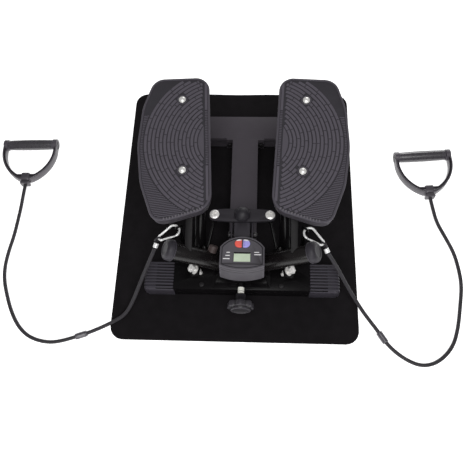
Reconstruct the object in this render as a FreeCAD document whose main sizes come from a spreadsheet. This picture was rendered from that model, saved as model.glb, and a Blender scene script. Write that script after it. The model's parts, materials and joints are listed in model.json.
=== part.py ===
import FreeCAD, Part
import math
import os
import re
from FreeCAD import Placement, Rotation, Vector

# Mini twist stepper: two pedals on inclined pivot tubes, linked by a rocker and two tie rods,
# damped by two oil cylinders, with a counter console, a height knob and two resistance bands.
# Frame: +X right and +Y rear as seen from the console end, +Z up, millimetres.
# X = 0 is the machine's middle plane and Z = 0 is the underside of the mat.

DIMENSIONS = (
    # mat and base frame
    ("mat_width", 500), ("mat_length", 600), ("mat_height", 4), ("mat_corner", 28),
    ("stab_depth", 57), ("stab_height", 35), ("stab_wall", 2), ("stab_base", 8),
    ("front_half_width", 172), ("rear_half_width", 150),
    ("cap_length", 60), ("cap_depth", 63), ("cap_height", 42), ("cap_overlap", 36),
    ("fit_gap", 0.2), ("beam_width", 56),
    ("flange_width", 84), ("flange_thickness", 4),
    # inclined pivots and arms
    ("pivot_tilt", 33), ("axle_radius", 8), ("tube_radius", 17.5), ("tube_wall", 2.5),
    ("tube_inner_reach", 66), ("tube_outer_reach", 51), ("run_gap", 0.05), ("tube_cap_radius", 21),
    ("tube_cap_length", 13.5), ("tube_cap_wall", 3.5), ("bush_length", 20),
    ("arm_width", 13), ("arm_wall", 3), ("plate_thickness", 4),
    # pedals
    ("pedal_depth", 32), ("pedal_skin", 5), ("pedal_wall", 4),
    ("pedal_pitch", 7), ("pedal_yaw", 3), ("pedal_bolt_radius", 4),
    ("plate_width", 52), ("plate_length", 200),
    # rocker, tie rods and dampers
    ("rocker_thickness", 6), ("rocker_half_width", 55), ("rocker_bolt_radius", 10.6),
    ("ball_radius", 6), ("rod_end_radius", 8.5), ("rod_radius", 3), ("rod_eye_width", 6.4),
    ("rod_eye_gap", 1.2), ("dome_radius", 16),
    ("damper_radius", 12), ("damper_length", 96), ("damper_wall", 2), ("piston_radius", 5),
    ("eye_width", 12), ("damper_pin_radius", 4), ("head_eye_gap", 1.6),
    # guide, carrier and height adjuster
    ("guide_half_width", 22), ("guide_wall", 3), ("carrier_half_width", 15.5),
    ("screw_radius", 4), ("knob_radius", 26.5), ("knob_thickness", 12), ("knob_lobes", 7),
    # console
    ("console_half_width", 42.5), ("console_case_depth", 34), ("bezel_depth", 6),
    ("console_wall", 2.5), ("console_tilt", 14.9), ("button_height", 8), ("lcd_width", 33.5),
    ("lcd_length", 23),
    # bands and handles
    ("band_diameter", 7.5), ("bead_radius", 6.3), ("bead_length", 24),
    ("ferrule_radius", 5), ("ferrule_length", 9), ("hook_wire", 2.2),
    ("handle_height", 20), ("handle_flange_radius", 12.4), ("grip_radius", 12),
    ("grip_end_radius", 11), ("grip_half_length", 51), ("spindle_radius", 4),
)

doc = FreeCAD.newDocument("twist_stepper")
sheet = doc.addObject("Spreadsheet::Sheet", "Dimensions")
for row, (alias, value) in enumerate(DIMENSIONS, start=1):
    sheet.set("A%d" % row, alias)
    sheet.set("B%d" % row, str(value))
    sheet.setAlias("B%d" % row, alias)
doc.recompute()

SIDES = (("left", -1), ("right", 1))
UP = Vector(0, 0, 1)
RIGHTWARD = Vector(1, 0, 0)
REARWARD = Vector(0, 1, 0)
sub_parts = []


# ---- helpers -----------------------------------------------------------------------------

def dim(alias):
    """The number that the sheet holds for a dimension."""
    return float(sheet.get(alias))


def sheet_formula(text):
    """Turn the dimension names in a formula into references to the sheet."""
    return re.sub(r"[a-z][a-z_]+", lambda found: "Dimensions." + found.group(0), str(text))


def make(kind, name, placement, **formulas):
    """A Part primitive whose sizes are formulas over the sheet."""
    primitive = doc.addObject("Part::" + kind, name)
    for size_name, text in formulas.items():
        primitive.setExpression(size_name, sheet_formula(text))
    primitive.Placement = placement
    return primitive


def box(name, length, width, height, corner, turn=Rotation()):
    return make("Box", name, Placement(corner, turn), Length=length, Width=width, Height=height)


def cylinder(name, radius, height, base, direction=UP):
    turn = Rotation(UP, direction)
    return make("Cylinder", name, Placement(base, turn), Radius=radius, Height=height)


def sphere(name, radius, centre):
    return make("Sphere", name, Placement(centre, Rotation()), Radius=radius)


def ring(name, ring_radius, wire_radius, centre, direction=UP):
    turn = Rotation(UP, direction)
    return make("Torus", name, Placement(centre, turn), Radius1=ring_radius, Radius2=wire_radius)


def hexagon(name, radius, height, base, direction=UP):
    prism = make("Prism", name, Placement(base, Rotation(UP, direction)), Circumradius=radius, Height=height)
    prism.Polygon = 6
    return prism


def fuse(name, *pieces):
    joined = doc.addObject("Part::MultiFuse", name)
    joined.Shapes = list(pieces)
    return joined


def cut(name, base, *tools):
    removed = doc.addObject("Part::Cut", name)
    removed.Base = base
    removed.Tool = tools[0] if len(tools) == 1 else fuse(name + "_tools", *tools)
    return removed


def group(name, *pieces):
    """Several separate solids in one sub-part."""
    together = doc.addObject("Part::Compound", name)
    together.Links = list(pieces)
    return together


def sleeve(name, outer, inner, height, base, direction=UP):
    """A round tube: its outer and inner radius are formulas."""
    return cut(name, cylinder(name + "_outside", outer, height, base, direction),
               cylinder(name + "_bore", inner, height, base, direction))


def keep(piece, node):
    """Name a finished sub-part after its node."""
    piece.Label = node
    sub_parts.append(piece)
    return piece


def mirrored(point, side):
    """A point given for the right side, moved to the left side when side is -1."""
    return Vector(point.x * side, point.y, point.z)


def facing(axis, toward):
    """The rotation that puts local Z on axis and local X as near as possible to toward."""
    return Rotation(toward, Vector(), axis, "ZXY")


def corner_edges(corners, maker):
    """Straight runs and tangent arcs for a closed outline of (x, y, radius) corners.

    maker is "sketch" for sketch geometry or "wire" for edges.
    """
    points = [Vector(x, y, 0) for x, y, _radius in corners]
    radii = [radius for _x, _y, radius in corners]
    geometry = []
    starts, ends, arcs = [], [], []
    for index, point in enumerate(points):
        before = points[index - 1]
        after = points[(index + 1) % len(points)]
        back = (before - point).normalize()
        ahead = (after - point).normalize()
        half_angle = back.getAngle(ahead) / 2
        tangent = radii[index] / math.tan(half_angle)
        starts.append(point + back * tangent)
        ends.append(point + ahead * tangent)
        centre = point + (back + ahead).normalize() * (radii[index] / math.sin(half_angle))
        middle = centre + (point - centre).normalize() * radii[index]
        arcs.append(Part.Arc(starts[-1], middle, ends[-1]) if radii[index] else None)
    for index in range(len(points)):
        if arcs[index]:
            geometry.append(arcs[index])
        following = (index + 1) % len(points)
        geometry.append(Part.LineSegment(ends[index], starts[following]))
    if maker == "sketch":
        return geometry
    return [piece.toShape() for piece in geometry]


def line(start, end):
    return Part.LineSegment(Vector(*start, 0), Vector(*end, 0))


def arc(start, middle, end):
    return Part.Arc(Vector(*start, 0), Vector(*middle, 0), Vector(*end, 0))


def sketch_on(body, name, geometry, role="XY_Plane"):
    """A sketch on one of the body's own origin planes."""
    sketch = body.newObject("Sketcher::SketchObject", name)
    plane = next(feature for feature in body.Origin.OriginFeatures if feature.Role == role)
    sketch.AttachmentSupport = [(plane, "")]
    sketch.MapMode = "FlatFace"
    sketch.addGeometry(geometry, False)
    return sketch


def pad(body, sketch, length, symmetric=False):
    feature = body.newObject("PartDesign::Pad", sketch.Name + "_pad")
    feature.Profile = sketch
    feature.setExpression("Length", sheet_formula(length))
    feature.Midplane = symmetric
    body.Tip = feature
    doc.recompute()
    return feature


def pocket(body, sketch, length, upward=True):
    """A pocket that cuts along +Z from its sketch, or along -Z, and must remove material."""
    volume_before = body.Shape.Volume
    feature = body.newObject("PartDesign::Pocket", sketch.Name + "_pocket")
    feature.Profile = sketch
    feature.setExpression("Length", sheet_formula(length))
    feature.Reversed = upward
    body.Tip = feature
    doc.recompute()
    if body.Shape.Volume >= volume_before:
        raise RuntimeError(sketch.Name + " cuts nothing")
    return feature


def lift(sketch, height):
    """Raise a sketch along its plane's normal by a sheet formula."""
    sketch.setExpression(".AttachmentOffset.Base.z", sheet_formula(height))


def new_body(name, placement=Placement()):
    body = doc.addObject("PartDesign::Body", name)
    body.Placement = placement
    return body


# ---- reference points --------------------------------------------------------------------

MAT_CENTRE_X = -14.5
FRONT_Y = -175.5            # middle of the front stabilizer
REAR_Y = 178.5              # middle of the rear stabilizer
BEAM_FRONT_Y = FRONT_Y + dim("stab_depth") / 2 + dim("fit_gap")
BEAM_REAR_Y = REAR_Y - dim("stab_depth") / 2 - dim("fit_gap")
STAB_MIDDLE_Z = dim("stab_base") + dim("stab_height") / 2
STAB_TOP_Z = dim("stab_base") + dim("stab_height")
TILT = math.radians(dim("pivot_tilt"))
PIVOT_POINT = Vector(100, -154, 100)
PEDAL_REFERENCE = Vector(124, 36, 189.3)     # middle of the right pedal's tread
DAMPER_FOOT = Vector(88, -126, 38)
DAMPER_HEAD = Vector(84, 20, 122)
DAMPER_HINGE = Vector(0.7947, -0.0205, 0.6066)
ROCKER_PIVOT = Vector(0, -70, 102)           # underside of the rocker plate
BALL_CENTRE = Vector(55, -70, 93)
LUG_PIN = Vector(70, -128, 62.6)             # middle of the tie rod's lower eye
SCREW_Z = 60
HOOK_EYE = Vector(123, -104, 116)


def pivot_axis(side):
    """The right or left pivot tube's axis, pointing outward and up."""
    return Vector(side * math.cos(TILT), 0, math.sin(TILT))


def on_pivot(side, distance):
    """A point on the pivot axis, its distance measured outward from the pivot point."""
    return mirrored(PIVOT_POINT, side) + pivot_axis(side) * distance


def hinge_direction(side):
    """The damper's lower pin: a rotation axis, so its mirror image keeps X and turns Y and Z."""
    return Vector(DAMPER_HINGE.x, DAMPER_HINGE.y * side, DAMPER_HINGE.z * side)


# ---- mat and base frame ------------------------------------------------------------------

def floor_mat():
    half_x, half_y, radius = dim("mat_width") / 2, dim("mat_length") / 2, dim("mat_corner")
    corners = [(-half_x, -half_y, radius), (half_x, -half_y, radius),
               (half_x, half_y, radius), (-half_x, half_y, radius)]
    body = new_body("MatBody", Placement(Vector(MAT_CENTRE_X, 0, 0), Rotation()))
    pad(body, sketch_on(body, "MatOutline", corner_edges(corners, "sketch")), "mat_height")
    keep(body, "floor_mat")


def stabilizer_tube(name, half_width_alias, middle_y):
    """A rectangular steel tube lying along X."""
    half_width = dim(half_width_alias)
    outer = box(name + "_outer", "2 * " + half_width_alias, "stab_depth", "stab_height",
                Vector(-half_width, middle_y - dim("stab_depth") / 2, dim("stab_base")))
    wall = dim("stab_wall")
    inner = box(name + "_inner", "2 * " + half_width_alias, "stab_depth - 2 * stab_wall",
                "stab_height - 2 * stab_wall",
                Vector(-half_width, middle_y - dim("stab_depth") / 2 + wall, dim("stab_base") + wall))
    return cut(name + "_tube", outer, inner)


def flange_bolt_points(face_y):
    """Where the two bolts of a beam flange cross a plane of constant Y."""
    return [Vector(x, face_y, STAB_MIDDLE_Z) for x in (-35, 35)]


def damper_clevis(name, side):
    """Two ears behind the front stabilizer that hold the damper's lower pin."""
    turn = facing(hinge_direction(1), -REARWARD)
    ears = []
    for label, offset in (("near", 7.2), ("far", -10.7)):
        ear_turn = turn if side > 0 else facing(hinge_direction(-1), -REARWARD)
        middle = mirrored(DAMPER_FOOT, side)
        corner = middle + ear_turn.multVec(Vector(0, -7, offset))
        ear = box(name + label, 23.5, 14, 3.5, corner, ear_turn)
        end = cylinder(name + label + "_end", 7, 3.5, middle + ear_turn.multVec(Vector(0, 0, offset)),
                       ear_turn.multVec(UP))
        ears += [ear, end]
    return ears


def stop_axis(side):
    """The travel-stop bolt's direction, from its nut toward its head."""
    return Vector(side * 0.7, 0.15, 0.7).normalize()


def stop_point(side):
    """Where the travel-stop bolt crosses the middle of its lug."""
    return Vector(side * 90.6, -170.3, 57.6)


def stop_lug(name, side):
    """The sloping tab on the front stabilizer that carries a travel-stop bolt."""
    turn = facing(stop_axis(side), Vector(side, 0, -1))
    return box(name, 32, 24, 4, stop_point(side) + turn.multVec(Vector(-10, -12, -2)), turn)


def front_stabilizer():
    tube = stabilizer_tube("FrontStab", "front_half_width", FRONT_Y)
    welded = [tube]
    pin_holes, bolt_holes = [], []
    for label, side in SIDES:
        welded += damper_clevis("Clevis" + label, side)
        welded.append(stop_lug("StopLug" + label, side))
        axis = hinge_direction(side)
        start = mirrored(DAMPER_FOOT, side) - axis * 14
        pin_holes.append(cylinder("ClevisHole" + label, "damper_pin_radius + run_gap", 28, start, axis))
        stop_start = stop_point(side) - stop_axis(side) * 10
        bolt_holes.append(cylinder("StopHole" + label, 4.3, 20, stop_start, stop_axis(side)))
    holes = [cylinder("FrontFlangeHole%d" % index, 4.2, 20, point - REARWARD * 10, REARWARD)
             for index, point in enumerate(flange_bolt_points(BEAM_FRONT_Y))]
    inside = box("FrontStabInside", "2 * front_half_width", "stab_depth - 2 * stab_wall",
                 "stab_height - 2 * stab_wall",
                 Vector(-dim("front_half_width"), FRONT_Y - dim("stab_depth") / 2 + dim("stab_wall"),
                        dim("stab_base") + dim("stab_wall")))
    keep(cut("FrontStabCut", fuse("FrontStabWeld", *welded), inside, *pin_holes, *bolt_holes, *holes),
         "front_stabilizer")


def rear_stabilizer():
    tube = stabilizer_tube("RearStab", "rear_half_width", REAR_Y)
    holes = [cylinder("RearFlangeHole%d" % index, 4.2, 20, point - REARWARD * 10, REARWARD)
             for index, point in enumerate(flange_bolt_points(BEAM_REAR_Y))]
    keep(cut("RearStabCut", tube, *holes), "rear_stabilizer")


def stabilizer_end_caps():
    """Four moulded caps that slide over the stabilizers' ends and stand on the mat."""
    caps = []
    for row, half_width, middle_y in (("Front", dim("front_half_width"), FRONT_Y),
                                      ("Rear", dim("rear_half_width"), REAR_Y)):
        for label, side in SIDES:
            inner_end = half_width - dim("cap_overlap")
            start_x = inner_end if side > 0 else -inner_end - dim("cap_length")
            shell = box(row + label + "CapShell", "cap_length", "cap_depth", "cap_height",
                        Vector(start_x, middle_y - dim("cap_depth") / 2, dim("mat_height")))
            socket_x = inner_end if side > 0 else -half_width - dim("fit_gap")
            socket = box(row + label + "CapSocket", "cap_overlap + fit_gap",
                         "stab_depth + 2 * fit_gap", "stab_height + 2 * fit_gap",
                         Vector(socket_x, middle_y - dim("stab_depth") / 2 - dim("fit_gap"),
                                dim("stab_base") - dim("fit_gap")))
            caps.append(cut(row + label + "Cap", shell, socket))
    keep(group("EndCaps", *caps), "stabilizer_end_caps")


def center_beam():
    """The beam between the stabilizers, with a bolting flange welded on each end."""
    half, wall = dim("beam_width") / 2, dim("stab_wall")
    length = BEAM_REAR_Y - BEAM_FRONT_Y
    outer = box("BeamOuter", "beam_width", length, "stab_height",
                Vector(-half, BEAM_FRONT_Y, dim("stab_base")))
    inner = box("BeamInner", "beam_width - 2 * stab_wall", length, "stab_height - 2 * stab_wall",
                Vector(-half + wall, BEAM_FRONT_Y, dim("stab_base") + wall))
    tube = cut("BeamTube", outer, inner)
    flanges = []
    holes = []
    for label, start_y in (("Front", BEAM_FRONT_Y), ("Rear", BEAM_REAR_Y - dim("flange_thickness"))):
        flanges.append(box(label + "Flange", "flange_width", "flange_thickness", "stab_height",
                           Vector(-dim("flange_width") / 2, start_y, dim("stab_base"))))
        for index, point in enumerate(flange_bolt_points(start_y)):
            holes.append(cylinder("%sBeamHole%d" % (label, index), 4.2, 20, point - REARWARD * 8, REARWARD))
    keep(cut("BeamCut", fuse("BeamWeld", tube, *flanges), *holes), "center_beam")


def hex_bolts():
    """The four flange bolts and the cross bolt that holds the carrier in its guide."""
    bolts = []
    front_face = BEAM_FRONT_Y + dim("flange_thickness")
    rear_face = BEAM_REAR_Y - dim("flange_thickness")
    for label, face, direction in (("Front", front_face, -REARWARD), ("Rear", rear_face, REARWARD)):
        for index, point in enumerate(flange_bolt_points(face)):
            head = hexagon("%sHead%d" % (label, index), 6.4, 5.5, point, -direction)
            shank = cylinder("%sShank%d" % (label, index), 4, 14, point, direction)
            nut = hexagon("%sNut%d" % (label, index), 6.4, 5,
                          point + direction * (dim("flange_thickness") + dim("fit_gap") + 2.05), direction)
            bolts.append(fuse("%sBolt%d" % (label, index), head, shank, nut))
    outside = dim("guide_half_width") + 0.1
    level = Vector(0, -104, 86)
    head = hexagon("CrossHead", 6.4, 5.5, level - RIGHTWARD * outside, -RIGHTWARD)
    shank = cylinder("CrossShank", 4, 2 * outside + 8, level - RIGHTWARD * outside, RIGHTWARD)
    nut = hexagon("CrossNut", 6.4, 6.5, level + RIGHTWARD * outside, RIGHTWARD)
    bolts.append(fuse("CrossBolt", head, shank, nut))
    keep(group("HexBolts", *bolts), "hex_bolts")


def stop_bolts():
    """The travel-stop bolt of each pedal: head, washer above its lug and locknut below it."""
    bolts = []
    for label, side in SIDES:
        axis = stop_axis(side)
        upper_face = stop_point(side) + axis * 2.05
        lower_face = stop_point(side) - axis * 2.05
        washer = cylinder("StopWasher" + label, 9, 2, upper_face, axis)
        head = hexagon("StopHead" + label, 8.5, 7, upper_face + axis * 7, axis)
        shank = cylinder("StopShank" + label, 4, 24, upper_face + axis * 8, -axis)
        nut = hexagon("StopNut" + label, 7.5, 6, lower_face, -axis)
        bolts.append(fuse("StopBolt" + label, washer, head, shank, nut))
    keep(group("StopBolts", *bolts), "stop_bolts")


# ---- pivots ------------------------------------------------------------------------------

AXLE_INNER = -72            # distances along the pivot axis
AXLE_OUTER = 43
PLATE_START = -73


def axle_plate(name, side):
    """The inclined plate that an axle is fixed in."""
    axis = pivot_axis(side)
    turn = facing(axis, REARWARD)
    return box(name, 44, 38, 4.5, on_pivot(side, PLATE_START) + turn.multVec(Vector(-22, -19, 0)), turn)


def axle_bracket():
    """The welded bracket on the front stabilizer: base, two axle plates, front wall, console stem."""
    base = box("BracketBase", 116, 52, 3, Vector(-58, -200, STAB_TOP_Z + 0.1))
    below = box("BracketTrim", 200, 100, 60, Vector(-100, -220, STAB_TOP_Z + 0.1 - 60))
    plates = [axle_plate("AxlePlate" + label, side) for label, side in SIDES]
    web = box("BracketWeb", 62, 54, 3, Vector(-31, -186, 74))
    front_wall = box("BracketWall", 40, 4, 32, Vector(-20, -196, STAB_TOP_Z + 0.1))
    back = console_point(0, 0, -0.2)
    stem = cylinder("ConsoleStem", 10, 16, back, -console_normal())
    screw_hole = cylinder("BracketScrewHole", "screw_radius + run_gap", 30,
                          Vector(0, -210, SCREW_Z), REARWARD)
    tip_holes = [cylinder("AxleSocket" + label, "axle_radius + 0.02", 10,
                          on_pivot(side, AXLE_INNER), pivot_axis(side)) for label, side in SIDES]
    screw_holes = [cylinder("BaseScrewHole" + label, 2.6, 10, Vector(side * 50, -193, 40))
                   for label, side in SIDES]
    welded = fuse("BracketWeld", base, web, front_wall, stem, *plates)
    keep(cut("BracketCut", welded, below, screw_hole, *tip_holes, *screw_holes), "axle_bracket")


def pivot_axles():
    """Two shoulder axles, each with a head that keeps its pivot tube on."""
    axles = []
    for label, side in SIDES:
        axis = pivot_axis(side)
        shaft = cylinder("AxleShaft" + label, "axle_radius", AXLE_OUTER - AXLE_INNER,
                         on_pivot(side, AXLE_INNER), axis)
        head = cylinder("AxleHead" + label, 13, 4, on_pivot(side, AXLE_OUTER + 0.3), axis)
        neck = cylinder("AxleNeck" + label, "axle_radius", 1, on_pivot(side, AXLE_OUTER - 0.5), axis)
        axles.append(fuse("Axle" + label, shaft, neck, head))
    keep(group("PivotAxles", *axles), "pivot_axles")


def pivot_bushings():
    """A bush at each end of each pivot tube, fixed on the axle."""
    bushes = []
    for label, side in SIDES:
        for end, start in (("Inner", -65), ("Outer", AXLE_OUTER - dim("bush_length") - 0.2)):
            bushes.append(sleeve("Bush" + label + end, "tube_radius - tube_wall - run_gap",
                                 "axle_radius + 0.02", "bush_length", on_pivot(side, start),
                                 pivot_axis(side)))
    keep(group("PivotBushings", *bushes), "pivot_bushings")


def pivot_tube(label, side):
    """The inclined tube that a pedal arm is welded to, with the lug of its tie rod."""
    axis = pivot_axis(side)
    shell = cylinder("TubeShell" + label, "tube_radius", "tube_inner_reach + tube_outer_reach",
                     on_pivot(side, -dim("tube_inner_reach")), axis)
    pin_centre = mirrored(LUG_PIN, side)
    lug_start = pin_centre + axis * 5.2
    foot = on_pivot(side, (lug_start - on_pivot(side, 0)).dot(axis))
    inward = foot - lug_start
    turn = facing(axis, inward)
    lug = box("Lug" + label, inward.Length, 13, 5, lug_start + turn.multVec(Vector(0, -6.5, 0)), turn)
    lug_end = cylinder("LugEnd" + label, 6.5, 5, lug_start, axis)
    pin = cylinder("LugPin" + label, "rod_radius", 13.5, lug_start + axis * 0.5, -axis)
    pin_head = cylinder("LugPinHead" + label, 5.4, 2, lug_start - axis * 9.2, -axis)
    bore = cylinder("TubeBore" + label, "tube_radius - tube_wall", "tube_inner_reach + tube_outer_reach",
                    on_pivot(side, -dim("tube_inner_reach")), axis)
    welded = fuse("TubeWeld" + label, shell, lug, lug_end, pin, pin_head)
    keep(cut("Tube" + label, welded, bore), label + "_pivot_tube")


def tube_cap(label, side):
    """The rubber cap over the pivot tube's outer end."""
    axis = pivot_axis(side)
    inner_length = dim("tube_cap_length") - dim("tube_cap_wall")
    start = dim("tube_outer_reach") + 0.2 - inner_length
    shell = cylinder("TubeCapShell" + label, "tube_cap_radius", "tube_cap_length", on_pivot(side, start), axis)
    socket = cylinder("TubeCapSocket" + label, "tube_radius + run_gap", inner_length,
                      on_pivot(side, start), axis)
    dimple = sphere("TubeCapDimple" + label, 24, on_pivot(side, start + dim("tube_cap_length") + 22.6))
    keep(cut("TubeCap" + label, shell, socket, dimple), label + "_tube_cap")


# Side view of the arm as (Y, Z): from inside the pivot tube, under the pedal, and back.
ARM_PROFILE = ((-154, 90), (45, 108), (165, 160), (165, 197.5), (-84, 167), (-88, 137), (-154, 120))
ARM_MIDDLE_X = 101.5
PLATE_TOP = dim("pedal_depth") - dim("pedal_skin") - 0.05      # above the pedal's underside


def arm_prism(name, drop, width, side):
    """The arm's side profile, moved down by drop and made into a plate of the given width."""
    points = [Vector(0, y + drop / 2, z - drop) for y, z in ARM_PROFILE]
    placement = Placement(Vector(side * ARM_MIDDLE_X, 0, 0), Rotation())
    body = new_body(name, placement)
    ring_points = points + points[:1]
    geometry = [Part.LineSegment(Vector(a.y, a.z, 0), Vector(b.y, b.z, 0))
                for a, b in zip(ring_points, ring_points[1:])]
    pad(body, sketch_on(body, name + "Side", geometry, "YZ_Plane"), width, symmetric=True)
    return body


def pedal_arm(label, side):
    """A folded channel from the pivot tube to the plate that the pedal is bolted to."""
    axis = pivot_axis(side)
    outer = arm_prism("ArmOuter" + label, 0, "arm_width", side)
    inner = arm_prism("ArmInner" + label, 5, "arm_width - 2 * arm_wall", side)
    channel = cut("ArmChannel" + label, outer, inner)
    frame = pedal_placement(side)
    middle_u = side * -4 - dim("plate_width") / 2
    corner = frame.multVec(Vector(middle_u, -72, PLATE_TOP - dim("plate_thickness")))
    plate = box("ArmPlate" + label, "plate_width", "plate_length", "plate_thickness", corner, frame.Rotation)
    tube_room = cylinder("ArmTubeRoom" + label, "tube_radius + run_gap", "tube_inner_reach + tube_outer_reach + 20",
                         on_pivot(side, -dim("tube_inner_reach") - 10), axis)
    holes = [cylinder("ArmPlateHole%s%d" % (label, index), "pedal_bolt_radius + 0.2", 20,
                      frame.multVec(Vector(side * u, v, 15)), frame.Rotation.multVec(UP))
             for index, (u, v) in enumerate(PEDAL_BOLTS)]
    pin_hole = cylinder("ArmPinHole" + label, "damper_pin_radius + run_gap", 60,
                        Vector(side * ARM_MIDDLE_X - 30, DAMPER_HEAD.y, DAMPER_HEAD.z), RIGHTWARD)
    welded = fuse("ArmWeld" + label, channel, plate)
    keep(cut("Arm" + label, welded, tube_room, pin_hole, *holes), label + "_pedal_arm")


# ---- pedals ------------------------------------------------------------------------------

# Right pedal seen from above, as (outward, rearward, corner radius) about its middle.
PEDAL_OUTLINE = ((-62, -127, 38), (22, -149.5, 60), (52, -149, 24), (76, -72, 120),
                 (82, 5, 160), (72.5, 88, 130), (49, 150, 30), (-61, 150, 28))
PEDAL_BOLTS = ((-6.5, -49), (-6.5, 102))
PEDAL_HALF = (72, 150)      # rough half sizes of the outline, for the inset of the hollow


def pedal_placement(side):
    """Local X outward, Y along the tread, and Z = 0 at the skirt's lower edge."""
    turn = Rotation(UP, -side * dim("pedal_yaw")).multiply(Rotation(RIGHTWARD, dim("pedal_pitch")))
    top = mirrored(PEDAL_REFERENCE, side)
    return Placement(top - turn.multVec(UP) * dim("pedal_depth"), turn)


def pedal(label, side):
    """The moulded foot plate: a tread with a skirt all round."""
    wall = dim("pedal_wall")
    shrink_u = 1 - wall / PEDAL_HALF[0]
    shrink_v = 1 - wall / PEDAL_HALF[1]
    outer = [(side * u, v, radius) for u, v, radius in PEDAL_OUTLINE]
    inner = [(side * u * shrink_u, v * shrink_v, radius - wall) for u, v, radius in PEDAL_OUTLINE]
    body = new_body("PedalBody" + label, pedal_placement(side))
    pad(body, sketch_on(body, "PedalOuter" + label, corner_edges(outer, "sketch")), "pedal_depth")
    pocket(body, sketch_on(body, "PedalInner" + label, corner_edges(inner, "sketch")),
           "pedal_depth - pedal_skin")
    circles = [Part.Circle(Vector(side * u, v, 0), UP, dim("pedal_bolt_radius") + 0.2)
               for u, v in PEDAL_BOLTS]
    pocket(body, sketch_on(body, "PedalHoles" + label, circles), "pedal_depth + 1")
    keep(body, label + "_pedal")


def arm_fasteners(label, side):
    """Two pedal bolts with their nuts, and the pin of the damper's upper eye."""
    frame = pedal_placement(side)
    normal = frame.Rotation.multVec(UP)
    plate_bottom = PLATE_TOP - dim("plate_thickness")
    pieces = []
    for index, (u, v) in enumerate(PEDAL_BOLTS):
        name = "PedalBolt%s%d" % (label, index)
        top = frame.multVec(Vector(side * u, v, dim("pedal_depth") + 0.05))
        bottom = frame.multVec(Vector(side * u, v, plate_bottom - 0.05))
        shank = cylinder(name + "Shank", "pedal_bolt_radius", "pedal_skin + plate_thickness + 8", top, -normal)
        dome = sphere(name + "Dome", 9, top - normal * 5.4)
        room = cylinder(name + "DomeRoom", 20, 20, top, -normal)
        head = cut(name + "Head", dome, room)
        nut = hexagon(name + "Nut", 6.5, 5, bottom, -normal)
        pieces.append(fuse(name, shank, head, nut))
    pin_start = Vector(side * 74, DAMPER_HEAD.y, DAMPER_HEAD.z)
    outward = RIGHTWARD * side
    shank = cylinder("HeadPin" + label, "damper_pin_radius", 39, pin_start, outward)
    pin_head = cylinder("HeadPinHead" + label, 7, 3, pin_start, -outward)
    spacer = cylinder("HeadPinCollar" + label, 6, 2.5, pin_start + outward * 18.2, outward)
    nut = hexagon("HeadPinNut" + label, 6.5, 5, pin_start + outward * 34.2, outward)
    pieces.append(fuse("HeadPinSet" + label, shank, pin_head, spacer, nut))
    keep(group("ArmFasteners" + label, *pieces), label + "_arm_fasteners")


def sensor_magnet():
    """The magnet on the left pivot tube that passes the console's reed sensor."""
    axis = pivot_axis(-1)
    centre = on_pivot(-1, -42)
    up_tube = Vector(math.sin(TILT), 0, math.cos(TILT))
    outward = up_tube * math.cos(math.radians(50)) + REARWARD * math.sin(math.radians(50))
    disc = cylinder("MagnetDisc", 9, 13, centre + outward * (dim("tube_radius") - 1), outward)
    room = cylinder("MagnetTubeRoom", "tube_radius + run_gap", 60, centre - axis * 30, axis)
    keep(cut("Magnet", disc, room), "sensor_magnet")


# ---- rocker and tie rods -----------------------------------------------------------------

def rocker_guide():
    """The channel on the beam that the rocker's carrier stands in."""
    half, wall = dim("guide_half_width"), dim("guide_wall")
    start_y, length = -125, 68
    base_z = STAB_TOP_Z + 0.1
    outer = box("GuideOuter", "2 * guide_half_width", length, 55, Vector(-half, start_y, base_z))
    inner = box("GuideInner", "2 * guide_half_width - 2 * guide_wall", length + 2, 60,
                Vector(-half + wall, start_y - 1, base_z + wall))
    hole = cylinder("GuideHole", 4.1, 60, Vector(-30, -104, 86), RIGHTWARD)
    rear_slope = box("GuideRearTrim", 60, 60, 60, Vector(-30, -72, 62))
    keep(cut("Guide", outer, inner, hole, rear_slope), "rocker_guide")


def rocker_carrier():
    """The folded plate that holds the rocker's pivot, cross-bolted in the guide."""
    half = dim("carrier_half_width")
    top_z = ROCKER_PIVOT.z - 2
    outer = box("CarrierOuter", "2 * carrier_half_width", 62, 24, Vector(-half, -114, top_z - 24))
    inner = box("CarrierInner", "2 * carrier_half_width - 6", 70, 24, Vector(-half + 3, -118, top_z - 28))
    cross_hole = cylinder("CarrierHole", 4.1, 60, Vector(-30, -104, 86), RIGHTWARD)
    pivot_hole = cylinder("CarrierPivotHole", 6.05, 40, Vector(0, ROCKER_PIVOT.y, top_z - 30))
    rear_trim = cylinder("CarrierRearTrim", 9.5, 15, Vector(0, ROCKER_PIVOT.y, top_z - 24.5))
    keep(cut("Carrier", outer, inner, cross_hole, pivot_hole, rear_trim), "rocker_carrier")


def rocker_pivot_bolt():
    """The bolt that the rocker swings on, with the washer under it and the nut on top."""
    foot = Vector(0, ROCKER_PIVOT.y, ROCKER_PIVOT.z - 6.1)
    head = hexagon("PivotHead", 9, 6, foot - UP * 6)
    shank = cylinder("PivotShank", 6, 18.5, foot - UP * 1)
    washer = cylinder("PivotWasher", 10, 1.6, Vector(0, ROCKER_PIVOT.y, ROCKER_PIVOT.z - 1.95))
    nut = hexagon("PivotNut", 9, 4.5, Vector(0, ROCKER_PIVOT.y, ROCKER_PIVOT.z + 6.35))
    keep(fuse("PivotBolt", head, shank, washer, nut), "rocker_pivot_bolt")


# Rocker plate seen from above, as (x, y, corner radius) about its pivot.
ROCKER_OUTLINE = ((-66, -11, 10.5), (-24, -14, 20), (24, -14, 20), (66, -11, 10.5),
                  (66, 11, 10.5), (24, 13.5, 20), (-24, 13.5, 20), (-66, 11, 10.5))


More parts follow.
